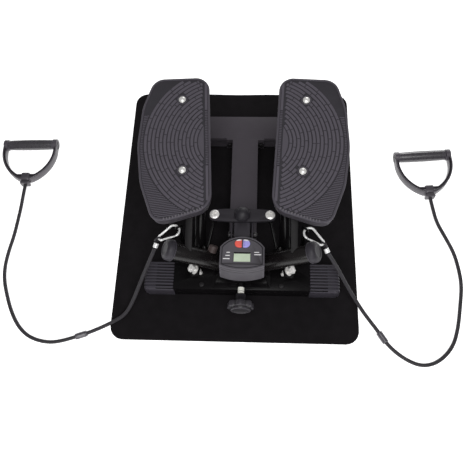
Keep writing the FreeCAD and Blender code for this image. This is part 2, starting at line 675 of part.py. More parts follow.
def rocker_plate():
    body = new_body("RockerBody", Placement(ROCKER_PIVOT, Rotation()))
    pad(body, sketch_on(body, "RockerOutline", corner_edges(ROCKER_OUTLINE, "sketch")), "rocker_thickness")
    holes = [Part.Circle(Vector(), UP, 6.05)]
    holes += [Part.Circle(Vector(side * dim("rocker_half_width"), 0, 0), UP, 4.1) for _label, side in SIDES]
    pocket(body, sketch_on(body, "RockerHoles", holes), "rocker_thickness + 1")
    keep(body, "rocker_plate")


def rocker_dome():
    """The rubber cover over the pivot nut."""
    foot = ROCKER_PIVOT + UP * (dim("rocker_thickness") + 0.1)
    outer = sphere("DomeOuter", "dome_radius", foot)
    inner = sphere("DomeInner", "dome_radius - 2.5", foot)
    below = box("DomeTrim", 60, 60, 40, foot - Vector(30, 30, 40))
    keep(cut("Dome", outer, inner, below), "rocker_dome")


def rocker_end_bolts():
    """Wide-headed bolts whose lower ends are the balls of the tie rods' joints."""
    bolts = []
    for label, side in SIDES:
        ball_point = mirrored(BALL_CENTRE, side)
        top = Vector(ball_point.x, ball_point.y, ROCKER_PIVOT.z + dim("rocker_thickness") + 0.1)
        shank = cylinder("EndShank" + label, 4, top.z - ball_point.z + 1, ball_point)
        ball = sphere("EndBall" + label, "ball_radius", ball_point)
        collar = cylinder("EndCollar" + label, 5.5, 2, Vector(top.x, top.y, ROCKER_PIVOT.z - 2.1))
        head = cylinder("EndHead" + label, "rocker_bolt_radius", 3.5, top)
        bolts.append(fuse("EndBolt" + label, shank, ball, collar, head))
    keep(group("EndBolts", *bolts), "rocker_end_bolts")


def tie_rod(label, side):
    """Rod from the rocker's ball to the pivot tube's lug; its lower eye has the open clearance."""
    upper = mirrored(BALL_CENTRE, side)
    lower = mirrored(LUG_PIN, side)
    axis = pivot_axis(side)
    along = (lower - upper).normalize()
    length = (lower - upper).Length
    rod = cylinder("RodBar" + label, "rod_radius", length - 13, upper + along * 6.5, along)
    housing = cylinder("RodHousing" + label, "rod_end_radius", 8, upper - UP * 4)
    eye_start = lower - axis * (dim("rod_eye_width") / 2)
    eye = cylinder("RodEye" + label, "rod_end_radius", "rod_eye_width", eye_start, axis)
    socket = sphere("RodSocket" + label, "ball_radius + run_gap", upper)
    mouth = cylinder("RodMouth" + label, 5.3, 10, upper)
    pin_hole = cylinder("RodPinHole" + label, "rod_radius + rod_eye_gap", 20, lower - axis * 10, axis)
    keep(cut("Rod" + label, fuse("RodWeld" + label, rod, housing, eye), socket, mouth, pin_hole),
         label + "_tie_rod")


# ---- dampers -----------------------------------------------------------------------------

BARREL_START = 16           # distances from the damper's foot
CHAMBER_START = 24
PISTON_START = 52


def damper_frame(side):
    """The damper's foot, its direction and its length from eye to eye."""
    foot = mirrored(DAMPER_FOOT, side)
    head = mirrored(DAMPER_HEAD, side)
    return foot, (head - foot).normalize(), (head - foot).Length


def damper_cylinder(label, side):
    """The oil cylinder: lower eye, hollow barrel, and a gland that guides the piston rod."""
    foot, along, _length = damper_frame(side)
    hinge = hinge_direction(side)
    barrel = cylinder("Barrel" + label, "damper_radius", dim("damper_length") - BARREL_START,
                      foot + along * BARREL_START, along)
    neck = cylinder("BarrelNeck" + label, 5, 12, foot + along * 6, along)
    eye = cylinder("BarrelEye" + label, 8, "eye_width", foot - hinge * (dim("eye_width") / 2), hinge)
    pin_hole = cylinder("BarrelPinHole" + label, "damper_pin_radius + run_gap", 30, foot - hinge * 15, hinge)
    chamber = cylinder("BarrelChamber" + label, "damper_radius - damper_wall",
                       dim("damper_length") - CHAMBER_START - 8, foot + along * CHAMBER_START, along)
    gland = cylinder("BarrelGland" + label, "piston_radius + run_gap", 30,
                     foot + along * (dim("damper_length") - 20), along)
    keep(cut("Damper" + label, fuse("DamperWeld" + label, barrel, neck, eye), pin_hole, chamber, gland),
         label + "_damper_cylinder")


def damper_rod(label, side):
    """The piston and its rod, whose upper eye has the open clearance round the arm's pin."""
    foot, along, length = damper_frame(side)
    head = mirrored(DAMPER_HEAD, side)
    piston = cylinder("Piston" + label, "damper_radius - damper_wall - run_gap", 10,
                      foot + along * PISTON_START, along)
    shaft = cylinder("PistonShaft" + label, "piston_radius", length - PISTON_START - 7,
                     foot + along * PISTON_START, along)
    eye = cylinder("PistonEye" + label, 9.5, "eye_width", head - RIGHTWARD * (dim("eye_width") / 2), RIGHTWARD)
    pin_hole = cylinder("PistonPinHole" + label, "damper_pin_radius + head_eye_gap", 40,
                        head - RIGHTWARD * 20, RIGHTWARD)
    keep(cut("DamperRod" + label, fuse("DamperRodWeld" + label, piston, shaft, eye), pin_hole),
         label + "_damper_rod")


def damper_lower_pins():
    pins = []
    for label, side in SIDES:
        hinge = hinge_direction(side)
        foot = mirrored(DAMPER_FOOT, side)
        shank = cylinder("FootPin" + label, "damper_pin_radius", 27, foot - hinge * 13.5, hinge)
        heads = [cylinder("FootPinHead%s%d" % (label, index), 6.5, 2, foot + hinge * (10.9 * end), hinge * end)
                 for index, end in enumerate((-1, 1))]
        pins.append(fuse("FootPinSet" + label, shank, *heads))
    keep(group("FootPins", *pins), "damper_lower_pins")


# ---- height adjuster ---------------------------------------------------------------------

SCREW_TIP_Y = -98
COLLAR_FRONT_Y = -219
KNOB_FRONT_Y = -248


def adjuster_screw():
    """Long screw with the bright collar that bears on the bracket's front wall."""
    start = Vector(0, KNOB_FRONT_Y + 4, SCREW_Z)
    shank = cylinder("ScrewShank", "screw_radius", SCREW_TIP_Y - start.y, start, REARWARD)
    collar = cylinder("ScrewCollar", 6.2, 14, Vector(0, COLLAR_FRONT_Y, SCREW_Z), REARWARD)
    keep(fuse("Screw", shank, collar), "adjuster_screw")


def adjuster_knob():
    """Star knob: a lobed disc with a hub behind and a low boss in front."""
    disc = cylinder("KnobDisc", "knob_radius - 5", "knob_thickness", Vector(0, KNOB_FRONT_Y, SCREW_Z), REARWARD)
    hub = cylinder("KnobHub", 10, COLLAR_FRONT_Y - 0.1 - KNOB_FRONT_Y, Vector(0, KNOB_FRONT_Y, SCREW_Z), REARWARD)
    boss = cylinder("KnobBoss", 20, 5, Vector(0, KNOB_FRONT_Y, SCREW_Z), -REARWARD)
    lobes = []
    lobe_count = int(dim("knob_lobes"))
    for index in range(lobe_count):
        angle = 2 * math.pi * index / lobe_count
        reach = dim("knob_radius") - 7
        centre = Vector(reach * math.sin(angle), KNOB_FRONT_Y, SCREW_Z + reach * math.cos(angle))
        lobes.append(cylinder("KnobLobe%d" % index, 7, "knob_thickness", centre, REARWARD))
    bore = cylinder("KnobBore", "screw_radius + 0.02", 60, Vector(0, KNOB_FRONT_Y + 3.9, SCREW_Z), REARWARD)
    keep(cut("Knob", fuse("KnobWeld", disc, hub, boss, *lobes), bore), "adjuster_knob")


def adjuster_block():
    """The threaded block that the screw moves along the guide."""
    block = box("BlockBody", 22, 14, 20, Vector(-11, -121, SCREW_Z - 10))
    thread = cylinder("BlockThread", "screw_radius + run_gap", 30, Vector(0, -130, SCREW_Z), REARWARD)
    keep(cut("Block", block, thread), "adjuster_block")


# ---- console -----------------------------------------------------------------------------

CONSOLE_FACE = Vector(2.4, -159.2, 130)       # middle of the console's face
FACE_REAR, ARCH_FOOT, FACE_FRONT, FRONT_CORNER = 38.8, 13.6, -38.8, -29.5
LCD_MIDDLE = -9.5
BUTTON_MIDDLE = 21.5


def console_normal():
    tilt = math.radians(dim("console_tilt"))
    return Vector(0, math.sin(tilt), math.cos(tilt))


def console_turn():
    return Rotation(RIGHTWARD, -dim("console_tilt"))


def console_point(x, y, height):
    """A point in the console's own frame: height is above the case's underside."""
    underside = CONSOLE_FACE - console_normal() * (dim("console_case_depth") + dim("bezel_depth"))
    return underside + console_turn().multVec(Vector(x, y, height))


def console_outline(inset):
    """Arched top, straight sides and a bowed front."""
    half = dim("console_half_width") - inset
    rear, arch, front, corner = FACE_REAR - inset, ARCH_FOOT, FACE_FRONT + inset, FRONT_CORNER
    return [line((-half, corner), (-half, arch)), arc((-half, arch), (0, rear), (half, arch)),
            line((half, arch), (half, corner)), arc((half, corner), (0, front), (-half, corner))]


def rectangle(x, y, width, length):
    """Four sides about a middle point."""
    corners = [(x - width / 2, y - length / 2), (x + width / 2, y - length / 2),
               (x + width / 2, y + length / 2), (x - width / 2, y + length / 2)]
    return [line(corners[index - 1], corners[index]) for index in range(4)]


def button_outline(side, margin):
    """Half of a round button: straight inner edge, round outer edge."""
    inner_x = side * (1.2 - margin)
    reach, half = 15.2 + margin, 9 + margin
    return [line((inner_x, BUTTON_MIDDLE - half), (inner_x, BUTTON_MIDDLE + half)),
            arc((inner_x, BUTTON_MIDDLE + half), (side * reach, BUTTON_MIDDLE), (inner_x, BUTTON_MIDDLE - half))]


def console_body(name, height):
    return new_body(name, Placement(console_point(0, 0, height), console_turn()))


def console_case():
    body = console_body("CaseBody", 0)
    pad(body, sketch_on(body, "CaseOutline", console_outline(0)), "console_case_depth")
    hollow = sketch_on(body, "CaseHollow", console_outline(dim("console_wall")))
    lift(hollow, "console_wall")
    pocket(body, hollow, "console_case_depth")
    keep(body, "console_case")


def console_bezel():
    body = console_body("BezelBody", dim("console_case_depth") + 0.05)
    pad(body, sketch_on(body, "BezelOutline", console_outline(0)), "bezel_depth")
    window = rectangle(0, LCD_MIDDLE, dim("lcd_width"), dim("lcd_length"))
    openings = window + button_outline(-1, 0.35) + button_outline(1, 0.35)
    pocket(body, sketch_on(body, "BezelOpenings", openings), "bezel_depth + 1")
    keep(body, "console_bezel")


def console_slab(name, width, length, thickness, x, y, height, node):
    """A flat block inside the console, in the console's own frame."""
    corner = console_point(x - width / 2, y - length / 2, height)
    keep(box(name, width, length, thickness, corner, console_turn()), node)


def console_insides():
    console_slab("Lcd", 32.9, 22.4, 3, 0, LCD_MIDDLE, 35.5, "lcd_panel")
    console_slab("Board", 66, 50, 1.6, 0, -4, 22, "circuit_board")
    cell = cylinder("Cell", 10, 3.2, console_point(18, -6, 18.5), console_normal())
    keep(cell, "coin_cell")
    console_slab("Reed", 4, 16, 4, -36, 0, 6, "reed_sensor")


def button(label, side):
    body = console_body("ButtonBody" + label, 33.6)
    outline = sketch_on(body, "ButtonOutline" + label, button_outline(side, 0))
    pad(body, outline, "button_height")
    keep(body, label + "_button")


def cross_head_screws():
    """Heads of two screws on the front stabilizer and of four console screws."""
    screws = []
    places = [(Vector(side * 79.5, -194.5, STAB_TOP_Z + 0.1), UP) for _label, side in SIDES]
    for x, y in ((-30, -22), (30, -22), (-30, 16), (30, 16)):
        places.append((console_point(x, y, -0.1), -console_normal()))
    for index, (seat, outward) in enumerate(places):
        screws.append(cylinder("ScrewHead%d" % index, 4.6, 2.4, seat, outward))
    keep(group("SmallScrews", *screws), "cross_head_screws")


# ---- resistance bands --------------------------------------------------------------------

# Each band's middle line as (x, y, z), from the ferrule at its hook to the handle.
BAND_ROUTES = {
    "left": ((-168.3, -142, 105.2), (-180, -163, 89), (-198, -194, 62), (-216, -227, 32), (-234, -252, 12),
             (-258, -266, 8.8), (-281, -277.5, 6.9), (-307.5, -289.5, 6.5), (-333, -298.5, 6.5),
             (-358.5, -306, 4.1), (-382.5, -310, 3.9), (-409.5, -306, 3.9), (-433, -296, 3.9),
             (-455, -276, 3.9), (-474, -246, 3.9), (-489, -212, 3.9), (-500.5, -180, 3.9),
             (-505, -148, 3.9), (-503, -114, 3.9), (-498, -80, 3.9), (-496, -42, 3.9),
             (-494, -6, 5.6), (-492.2, 20, 11), (-491.1, 42.6, 12.2)),
    "right": ((166.4, -146.2, 104), (177.5, -158, 92), (190, -172, 76), (206, -192, 54), (226, -214, 28),
              (247, -240, 11), (270, -270, 6.6), (289, -300, 6.5), (313, -321, 4.2),
              (338.5, -335, 3.9), (359, -338, 3.9), (380, -332, 3.9), (400.5, -317, 3.9),
              (418.5, -294, 3.9), (430.5, -260, 3.9), (439, -219, 3.9), (447.5, -174, 3.9),
              (446, -138, 3.9), (440, -101, 3.9), (426.5, -67, 3.9), (411.5, -33, 5.2),
              (404.6, -3, 11), (401.4, 22.6, 12.2)),
}
# Middle of the small loop at each band's end, just behind its ferrule.
LOOP_CENTRES = {"left": Vector(-162.9, -127.1, 111.8), "right": Vector(158.9, -132.8, 111.7)}
BEAD_RUNS = {"left": 7, "right": 6}          # the run of the route that passes through the bead


def band_path(points):
    """Straight runs joined by tangent arcs as large as the runs allow; returns edges and radii."""
    edges, radii = [], []
    here = points[0]
    for index in range(1, len(points) - 1):
        back = points[index - 1] - points[index]
        ahead = points[index + 1] - points[index]
        half_turn = (math.pi - back.getAngle(ahead)) / 2
        reach = 0.45 * min(back.Length, ahead.Length)
        radius = reach / math.tan(half_turn)
        radii.append(radius)
        back.normalize()
        ahead.normalize()
        start = points[index] + back * reach
        end = points[index] + ahead * reach
        bisector = (back + ahead).normalize()
        middle = points[index] + bisector * (radius / math.cos(half_turn) - radius)
        edges.append(Part.LineSegment(here, start).toShape())
        edges.append(Part.Arc(start, middle, end).toShape())
        here = end
    edges.append(Part.LineSegment(here, points[-1]).toShape())
    return edges, radii


def swept_tube(label):
    """The band's round solid, checked against its section times its length."""
    points = [Vector(*point) for point in BAND_ROUTES[label]]
    edges, radii = band_path(points)
    path = Part.Wire(edges)
    radius = dim("band_diameter") / 2
    section = Part.Wire([Part.Circle(points[0], points[1] - points[0], radius).toShape()])
    solid = path.makePipeShell([section], True, True)
    expected = math.pi * radius ** 2 * path.Length
    print("%s band: length %.0f mm, smallest radius %.0f mm, volume ratio %.4f"
          % (label, path.Length, min(radii), solid.Volume / expected))
    print("  radii", [round(value) for value in radii])
    return solid


def band(label):
    feature = doc.addObject("Part::Feature", "Band" + label)
    feature.Shape = swept_tube(label)
    keep(feature, label + "_band")


def band_beads():
    """A stop bead on each band."""
    beads = []
    for label, _side in SIDES:
        run = BEAD_RUNS[label]
        start, end = (Vector(*BAND_ROUTES[label][index]) for index in (run, run + 1))
        along = (end - start).normalize()
        base = (start + end) * 0.5 - along * (dim("bead_length") / 2)
        beads.append(sleeve("Bead" + label, "bead_radius", "band_diameter / 2 + 0.6", "bead_length", base, along))
    keep(group("Beads", *beads), "band_beads")


def ferrule_frame(label):
    """The band's first point and the direction back from it toward its end loop."""
    start = Vector(*BAND_ROUTES[label][0])
    return start, (LOOP_CENTRES[label] - start).normalize()


def band_ferrules():
    """Crimped metal sleeves that close each band's loop."""
    ferrules = []
    for label, _side in SIDES:
        start, back = ferrule_frame(label)
        ferrules.append(cylinder("Ferrule" + label, "ferrule_radius", "ferrule_length", start, back))
    keep(group("Ferrules", *ferrules), "band_ferrules")


def hook_frame(label, side):
    """A spring hook's eye end, its turn (X toward the band, Z upward) and its reach."""
    eye = mirrored(HOOK_EYE, side)
    along = LOOP_CENTRES[label] - eye
    return eye, Rotation(along, Vector(), UP, "XZY"), along.Length


def band_loops():
    """The band's small end loop, which the spring hook passes through."""
    loops = []
    for label, side in SIDES:
        _eye, turn, _length = hook_frame(label, side)
        loops.append(ring("Loop" + label, 6.2, 1.9, LOOP_CENTRES[label], turn.multVec(REARWARD)))
    keep(group("Loops", *loops), "band_loops")


HOOK_WIDE = 11.5            # half width at the eye end, between wire middles
HOOK_NARROW = 5.2           # half width at the band end
HOOK_OPEN = 14              # where the hook's open side starts, from the eye
HOOK_TIP_BACK = 2           # the hook's tip stops this far short of the band loop's middle


def carabiner(label, side):
    """Spring hook body: a pear of round wire, open where the gate closes it."""
    eye, turn, length = hook_frame(label, side)
    wide, narrow = HOOK_WIDE * side, HOOK_NARROW * side
    shoulder = length - HOOK_TIP_BACK - HOOK_NARROW
    path = [line((HOOK_OPEN, -wide), (HOOK_WIDE, -wide)), arc((HOOK_WIDE, -wide), (0, 0), (HOOK_WIDE, wide)),
            line((HOOK_WIDE, wide), (shoulder, narrow)),
            arc((shoulder, narrow), (shoulder + HOOK_NARROW, 0), (shoulder, -narrow))]
    body = new_body("HookBody" + label, Placement(eye, turn))
    spine = sketch_on(body, "HookPath" + label, path)
    section = sketch_on(body, "HookSection" + label, [Part.Circle(Vector(-wide, 0, 0), UP, dim("hook_wire"))],
                        "YZ_Plane")
    lift(section, HOOK_OPEN)
    wire = body.newObject("PartDesign::AdditivePipe", "HookWire" + label)
    wire.Profile = section
    wire.Spine = spine
    body.Tip = wire
    keep(body, label + "_carabiner")


def carabiner_gate(label, side):
    """The sprung bar that closes the hook; it turns about its band end."""
    eye, turn, length = hook_frame(label, side)
    placement = Placement(eye, turn)
    start = Vector(HOOK_OPEN + 0.6, -side * HOOK_WIDE, 0)
    end = Vector(length - HOOK_TIP_BACK - HOOK_NARROW - 0.6, -side * HOOK_NARROW, 0)
    bar = cylinder("Gate" + label, "hook_wire - 0.4", (end - start).Length, placement.multVec(start),
                   turn.multVec(end - start))
    keep(bar, label + "_carabiner_gate")


def band_anchors():
    """Posts on the front stabilizer whose ring eyes hold the spring hooks."""
    anchors = []
    for label, side in SIDES:
        eye, turn, _length = hook_frame(label, side)
        loop = ring("AnchorRing" + label, 6.2, 2.2, eye, turn.multVec(REARWARD))
        post_top = eye - UP * 5.5
        post = cylinder("AnchorPost" + label, 4, post_top.z - 26, Vector(eye.x, eye.y, 26))
        foot = box("AnchorFoot" + label, 8, eye.y - BEAM_FRONT_Y + 0.1, 10,
                   Vector(eye.x - 4, BEAM_FRONT_Y - 0.1, 22))
        anchors.append(fuse("Anchor" + label, loop, post, foot))
    keep(group("Anchors", *anchors), "band_anchors")


# ---- handles -----------------------------------------------------------------------------

# Middle of each grip on the floor, and the handle's turn in degrees.
HANDLES = {"left": (Vector(-494.2, 146.5, 0), 1.7), "right": (Vector(393.2, 126.2, 0), 4.5)}
GRIP_Z = 12.5
BLOCK_END = -104          # along the handle's own Y, from the grip's axis


def handle_placement(label, height):
    origin, turn = HANDLES[label]
    return Placement(origin + UP * height, Rotation(UP, turn))


def handle_outline():
    """The bow of the D, seen from above, with the grip's axis at y = 0."""
    return [
        line((-61.5, 6), (-61.5, -22)), arc((-61.5, -22), (-45, -67), (-12, -94)), line((-12, -94), (12, -94)),
        arc((12, -94), (45, -67), (61.5, -22)), line((61.5, -22), (61.5, 6)), line((61.5, 6), (54.5, 6)),
        line((54.5, 6), (54.5, -20)), arc((54.5, -20), (43, -57), (20, -80)), line((20, -80), (-20, -80)),
        arc((-20, -80), (-43, -57), (-54.5, -20)), line((-54.5, -20), (-54.5, 6)), line((-54.5, 6), (-61.5, 6)),
    ]


def handle_frames():
    """The two D-shaped frames, with the flanges and the spindle that the grip turns on."""
    frames = []
    for label, _side in SIDES:
        low = GRIP_Z - dim("handle_height") / 2
        body = new_body("HandleBody" + label, handle_placement(label, low))
        pad(body, sketch_on(body, "HandleOutline" + label, handle_outline()), "handle_height")
        middle = handle_placement(label, GRIP_Z)
        across = middle.Rotation.multVec(RIGHTWARD)
        spindle = cylinder("Spindle" + label, "spindle_radius", 116, middle.multVec(Vector(-58, 0, 0)), across)
        flanges = [cylinder("Flange%s%d" % (label, index), "handle_flange_radius", 10.3,
                            middle.multVec(Vector(x, 0, 0)), across)
                   for index, x in enumerate((-61.5, 51.2))]
        frames.append(fuse("HandleFrame" + label, body, spindle, *flanges))
    keep(group("HandleFrames", *frames), "handle_frames")


def handle_blocks():
    """The block at the foot of each D that the band is knotted in."""
    blocks = []
    for label, _side in SIDES:
        low = handle_placement(label, GRIP_Z - 9)
        corner = low.multVec(Vector(-10.5, BLOCK_END, 0))
        blocks.append(box("HandleBlock" + label, 21, -94.05 - BLOCK_END, 18, corner, low.Rotation))
    keep(group("HandleBlocks", *blocks), "handle_blocks")


def handle_grip(label):
    """A slightly barrelled tube that spins on the spindle."""
    half, bore = dim("grip_half_length"), dim("spindle_radius") + dim("run_gap")
    middle, end = dim("grip_radius"), dim("grip_end_radius")
    profile = [line((-half, bore), (half, bore)), line((half, bore), (half, end)),
               arc((half, end), (0, middle), (-half, end)), line((-half, end), (-half, bore))]
    body = new_body("GripBody" + label, handle_placement(label, GRIP_Z))
    sketch = sketch_on(body, "GripProfile" + label, profile)
    turned = body.newObject("PartDesign::Revolution", "GripTurned" + label)
    turned.Profile = sketch
    turned.ReferenceAxis = (sketch, ["H_Axis"])
    turned.Angle = 360
    body.Tip = turned
    keep(body, label + "_handle_grip")


# ---- build, check and write --------------------------------------------------------------

def build():
    floor_mat()
    front_stabilizer()
    rear_stabilizer()
    stabilizer_end_caps()
    center_beam()
    hex_bolts()
    stop_bolts()
    axle_bracket()
    pivot_axles()
    pivot_bushings()
    rocker_guide()
    rocker_carrier()
    rocker_pivot_bolt()
    rocker_plate()
    rocker_dome()
    rocker_end_bolts()
    sensor_magnet()
    damper_lower_pins()
    adjuster_screw()
    adjuster_knob()
    adjuster_block()
    console_case()
    console_bezel()
    console_insides()
    button("red", -1)
    button("blue", 1)
    cross_head_screws()
    band_beads()
    band_ferrules()
    band_loops()
    band_anchors()
    handle_frames()
    handle_blocks()
    for label, side in SIDES:
        pivot_tube(label, side)
        tube_cap(label, side)
        pedal_arm(label, side)
        pedal(label, side)
        arm_fasteners(label, side)
        tie_rod(label, side)
        damper_cylinder(label, side)
        damper_rod(label, side)
        band(label)
        carabiner(label, side)
        carabiner_gate(label, side)
        handle_grip(label)
    doc.recompute()


def check():
    """Stop before anything is written if a feature failed or a sub-part has no valid shape."""
    for thing in doc.Objects:
        if "Invalid" in thing.State or "Error" in thing.State:
            raise RuntimeError("%s failed: %s" % (thing.Name, thing.State))
    for piece in sub_parts:
        if piece.Shape.isNull() or not piece.Shape.isValid() or not piece.Shape.Solids:
            raise RuntimeError(piece.Label + " has no valid solid")
        print("%-24s solids %d volume %.0f" % (piece.Label, len(piece.Shape.Solids), piece.Shape.Volume))


def write():
    os.makedirs("parts", exist_ok=True)
    for piece in sub_parts:
        piece.Shape.exportStep("parts/%s.step" % piece.Label)
    print(len(sub_parts), "sub-parts written")


build()
check()
write()
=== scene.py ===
"""Visual model of a mini stepper with resistance bands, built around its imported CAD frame."""
import json
import math

import bmesh
import bpy
from mathutils import Matrix, Vector, noise

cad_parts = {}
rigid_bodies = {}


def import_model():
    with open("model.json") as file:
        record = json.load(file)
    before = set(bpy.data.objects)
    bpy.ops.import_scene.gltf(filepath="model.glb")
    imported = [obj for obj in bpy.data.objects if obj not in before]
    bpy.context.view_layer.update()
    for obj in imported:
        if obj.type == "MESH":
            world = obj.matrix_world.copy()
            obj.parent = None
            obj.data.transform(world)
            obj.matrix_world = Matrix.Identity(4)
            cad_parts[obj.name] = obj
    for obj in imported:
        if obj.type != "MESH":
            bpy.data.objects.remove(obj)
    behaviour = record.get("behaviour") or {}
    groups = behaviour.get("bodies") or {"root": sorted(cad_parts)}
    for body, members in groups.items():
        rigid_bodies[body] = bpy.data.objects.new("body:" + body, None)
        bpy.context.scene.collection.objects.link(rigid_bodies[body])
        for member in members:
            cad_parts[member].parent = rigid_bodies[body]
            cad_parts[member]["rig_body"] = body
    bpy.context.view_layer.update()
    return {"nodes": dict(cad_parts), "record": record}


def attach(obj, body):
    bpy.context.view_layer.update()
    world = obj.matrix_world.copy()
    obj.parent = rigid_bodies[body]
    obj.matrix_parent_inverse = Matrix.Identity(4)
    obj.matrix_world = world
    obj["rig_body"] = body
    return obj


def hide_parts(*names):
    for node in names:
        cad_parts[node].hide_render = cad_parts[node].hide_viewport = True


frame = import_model()
nodes = frame["nodes"]
SLOT_OF = {part["node"]: part["material_slot"] for part in frame["record"]["subparts"]}
SIDES = (("left", -1), ("right", 1))
MM = 0.001
UP = Vector((0, 0, 1))
REARWARD = Vector((0, 1, 0))
IN_MM = Matrix.Scale(MM, 4)             # for pieces that are drawn in millimetres


# ---- materials ----

CLOUD_SCALE, GLOSS_SCALE = 45, 160      # broad mottling and uneven gloss, per metre
SPECK_STRENGTH, SPECK_SHARE = 1.6, 0.4  # contrast of the fine grain's colour, and its part in the mix
GLOSS_SPREAD, LEAST_ROUGH = 0.07, 0.03
# The painted highlight along convex edges: where it starts and is full on the pointiness scale, and how much
# lighter it is.
EDGE_LIGHT_START, EDGE_LIGHT_FULL, EDGE_LIGHT_TINT = 0.505, 0.56, 2.1
WEAVE_DISTORTION, BUMP_HEIGHT = 1.5, 0.0004


def linear(colour):
    """An sRGB colour from 0 to 255 as the linear values a shader takes."""
    values = [c / 255 for c in colour]
    values = [v / 12.92 if v <= 0.04045 else ((v + 0.055) / 1.055) ** 2.4 for v in values]
    return (*values, 1)


def tinted(colour, factor):
    """The colour made darker or lighter, as linear values."""
    return linear([min(255, c * factor) for c in colour])


def feed(tree, node, inputs):
    """Sets a node's inputs, or links those whose value is another node's output."""
    for key, value in inputs.items():
        if isinstance(value, bpy.types.NodeSocket):
            tree.links.new(value, node.inputs[key])
        else:
            node.inputs[key].default_value = value
    return node


def cloud(tree, place, scale, detail):
    """Soft noise at that scale per metre."""
    node = tree.nodes.new("ShaderNodeTexNoise")
    return feed(tree, node, {"Scale": scale, "Detail": detail, "Vector": place}).outputs["Fac"]


def ramp(tree, source, colours, stops):
    """Turns a value into a colour between two colours."""
    node = tree.nodes.new("ShaderNodeValToRGB")
    for element, colour, stop in zip(node.color_ramp.elements, colours, stops):
        element.position = stop
        element.color = colour
    return feed(tree, node, {"Fac": source}).outputs["Color"]


def blend(tree, factor, first, second):
    """Mixes two colours."""
    node = tree.nodes.new("ShaderNodeMix")
    node.data_type = "RGBA"
    return feed(tree, node, {0: factor, 6: first, 7: second}).outputs[2]


def edge_highlights(tree, base, colour, edge_light):
    """The base colour, made lighter along convex edges as a painted highlight."""
    edge = tree.nodes.new("ShaderNodeNewGeometry").outputs["Pointiness"]
    lit_edge = ramp(tree, edge, ((0, 0, 0, 1), (edge_light, edge_light, edge_light, 1)), (EDGE_LIGHT_START, EDGE_LIGHT_FULL))
    return blend(tree, lit_edge, base, tinted(colour, EDGE_LIGHT_TINT))


def woven(tree, place, fine, threads):
    """The fine grain with diagonal threads laid over it."""
    wave = tree.nodes.new("ShaderNodeTexWave")
    wave.bands_direction = "DIAGONAL"
    feed(tree, wave, {"Scale": threads, "Distortion": WEAVE_DISTORTION, "Vector": place})
    total = tree.nodes.new("ShaderNodeMath")
    total.operation = "ADD"
    return feed(tree, total, {0: fine, 1: wave.outputs["Fac"]}).outputs["Value"]


def surface(name, colour, rough, grain=900, bump=0.15, mottle=0.08, metal=0.0, weave=0, edge_light=0.0,
            shine=0.35):
    """A procedural finish: mottled colour, uneven gloss, fine grain, optional weave and a painted highlight
    along convex edges.

    grain is the texture's scale per metre, bump its strength, weave the threads' scale per metre
    and shine the shader's specular level.
    """
    material = bpy.data.materials.new(name)
    material.use_nodes = True
    tree = material.node_tree
    place = tree.nodes.new("ShaderNodeTexCoord").outputs["Object"]

    def spread(share):
        return tinted(colour, 1 - share), tinted(colour, 1 + share)

    fine = cloud(tree, place, grain, 4)
    broad_colour = ramp(tree, cloud(tree, place, CLOUD_SCALE, 3), spread(mottle), (0.3, 0.7))
    speck_colour = ramp(tree, fine, spread(SPECK_STRENGTH * mottle), (0.35, 0.65))
    base = blend(tree, SPECK_SHARE, broad_colour, speck_colour)
    if edge_light:
        base = edge_highlights(tree, base, colour, edge_light)
    gloss = feed(tree, tree.nodes.new("ShaderNodeMapRange"),
                 {"Value": cloud(tree, place, GLOSS_SCALE, 5),
                  "To Min": max(LEAST_ROUGH, rough - GLOSS_SPREAD), "To Max": min(1.0, rough + GLOSS_SPREAD)})
    height = woven(tree, place, fine, weave) if weave else fine
    relief = feed(tree, tree.nodes.new("ShaderNodeBump"),
                  {"Strength": bump, "Distance": BUMP_HEIGHT, "Height": height})
    feed(tree, tree.nodes["Principled BSDF"],
         {"Metallic": metal, "Specular IOR Level": shine, "Base Color": base,
          "Roughness": gloss.outputs["Result"], "Normal": relief.outputs["Normal"]})
    return material


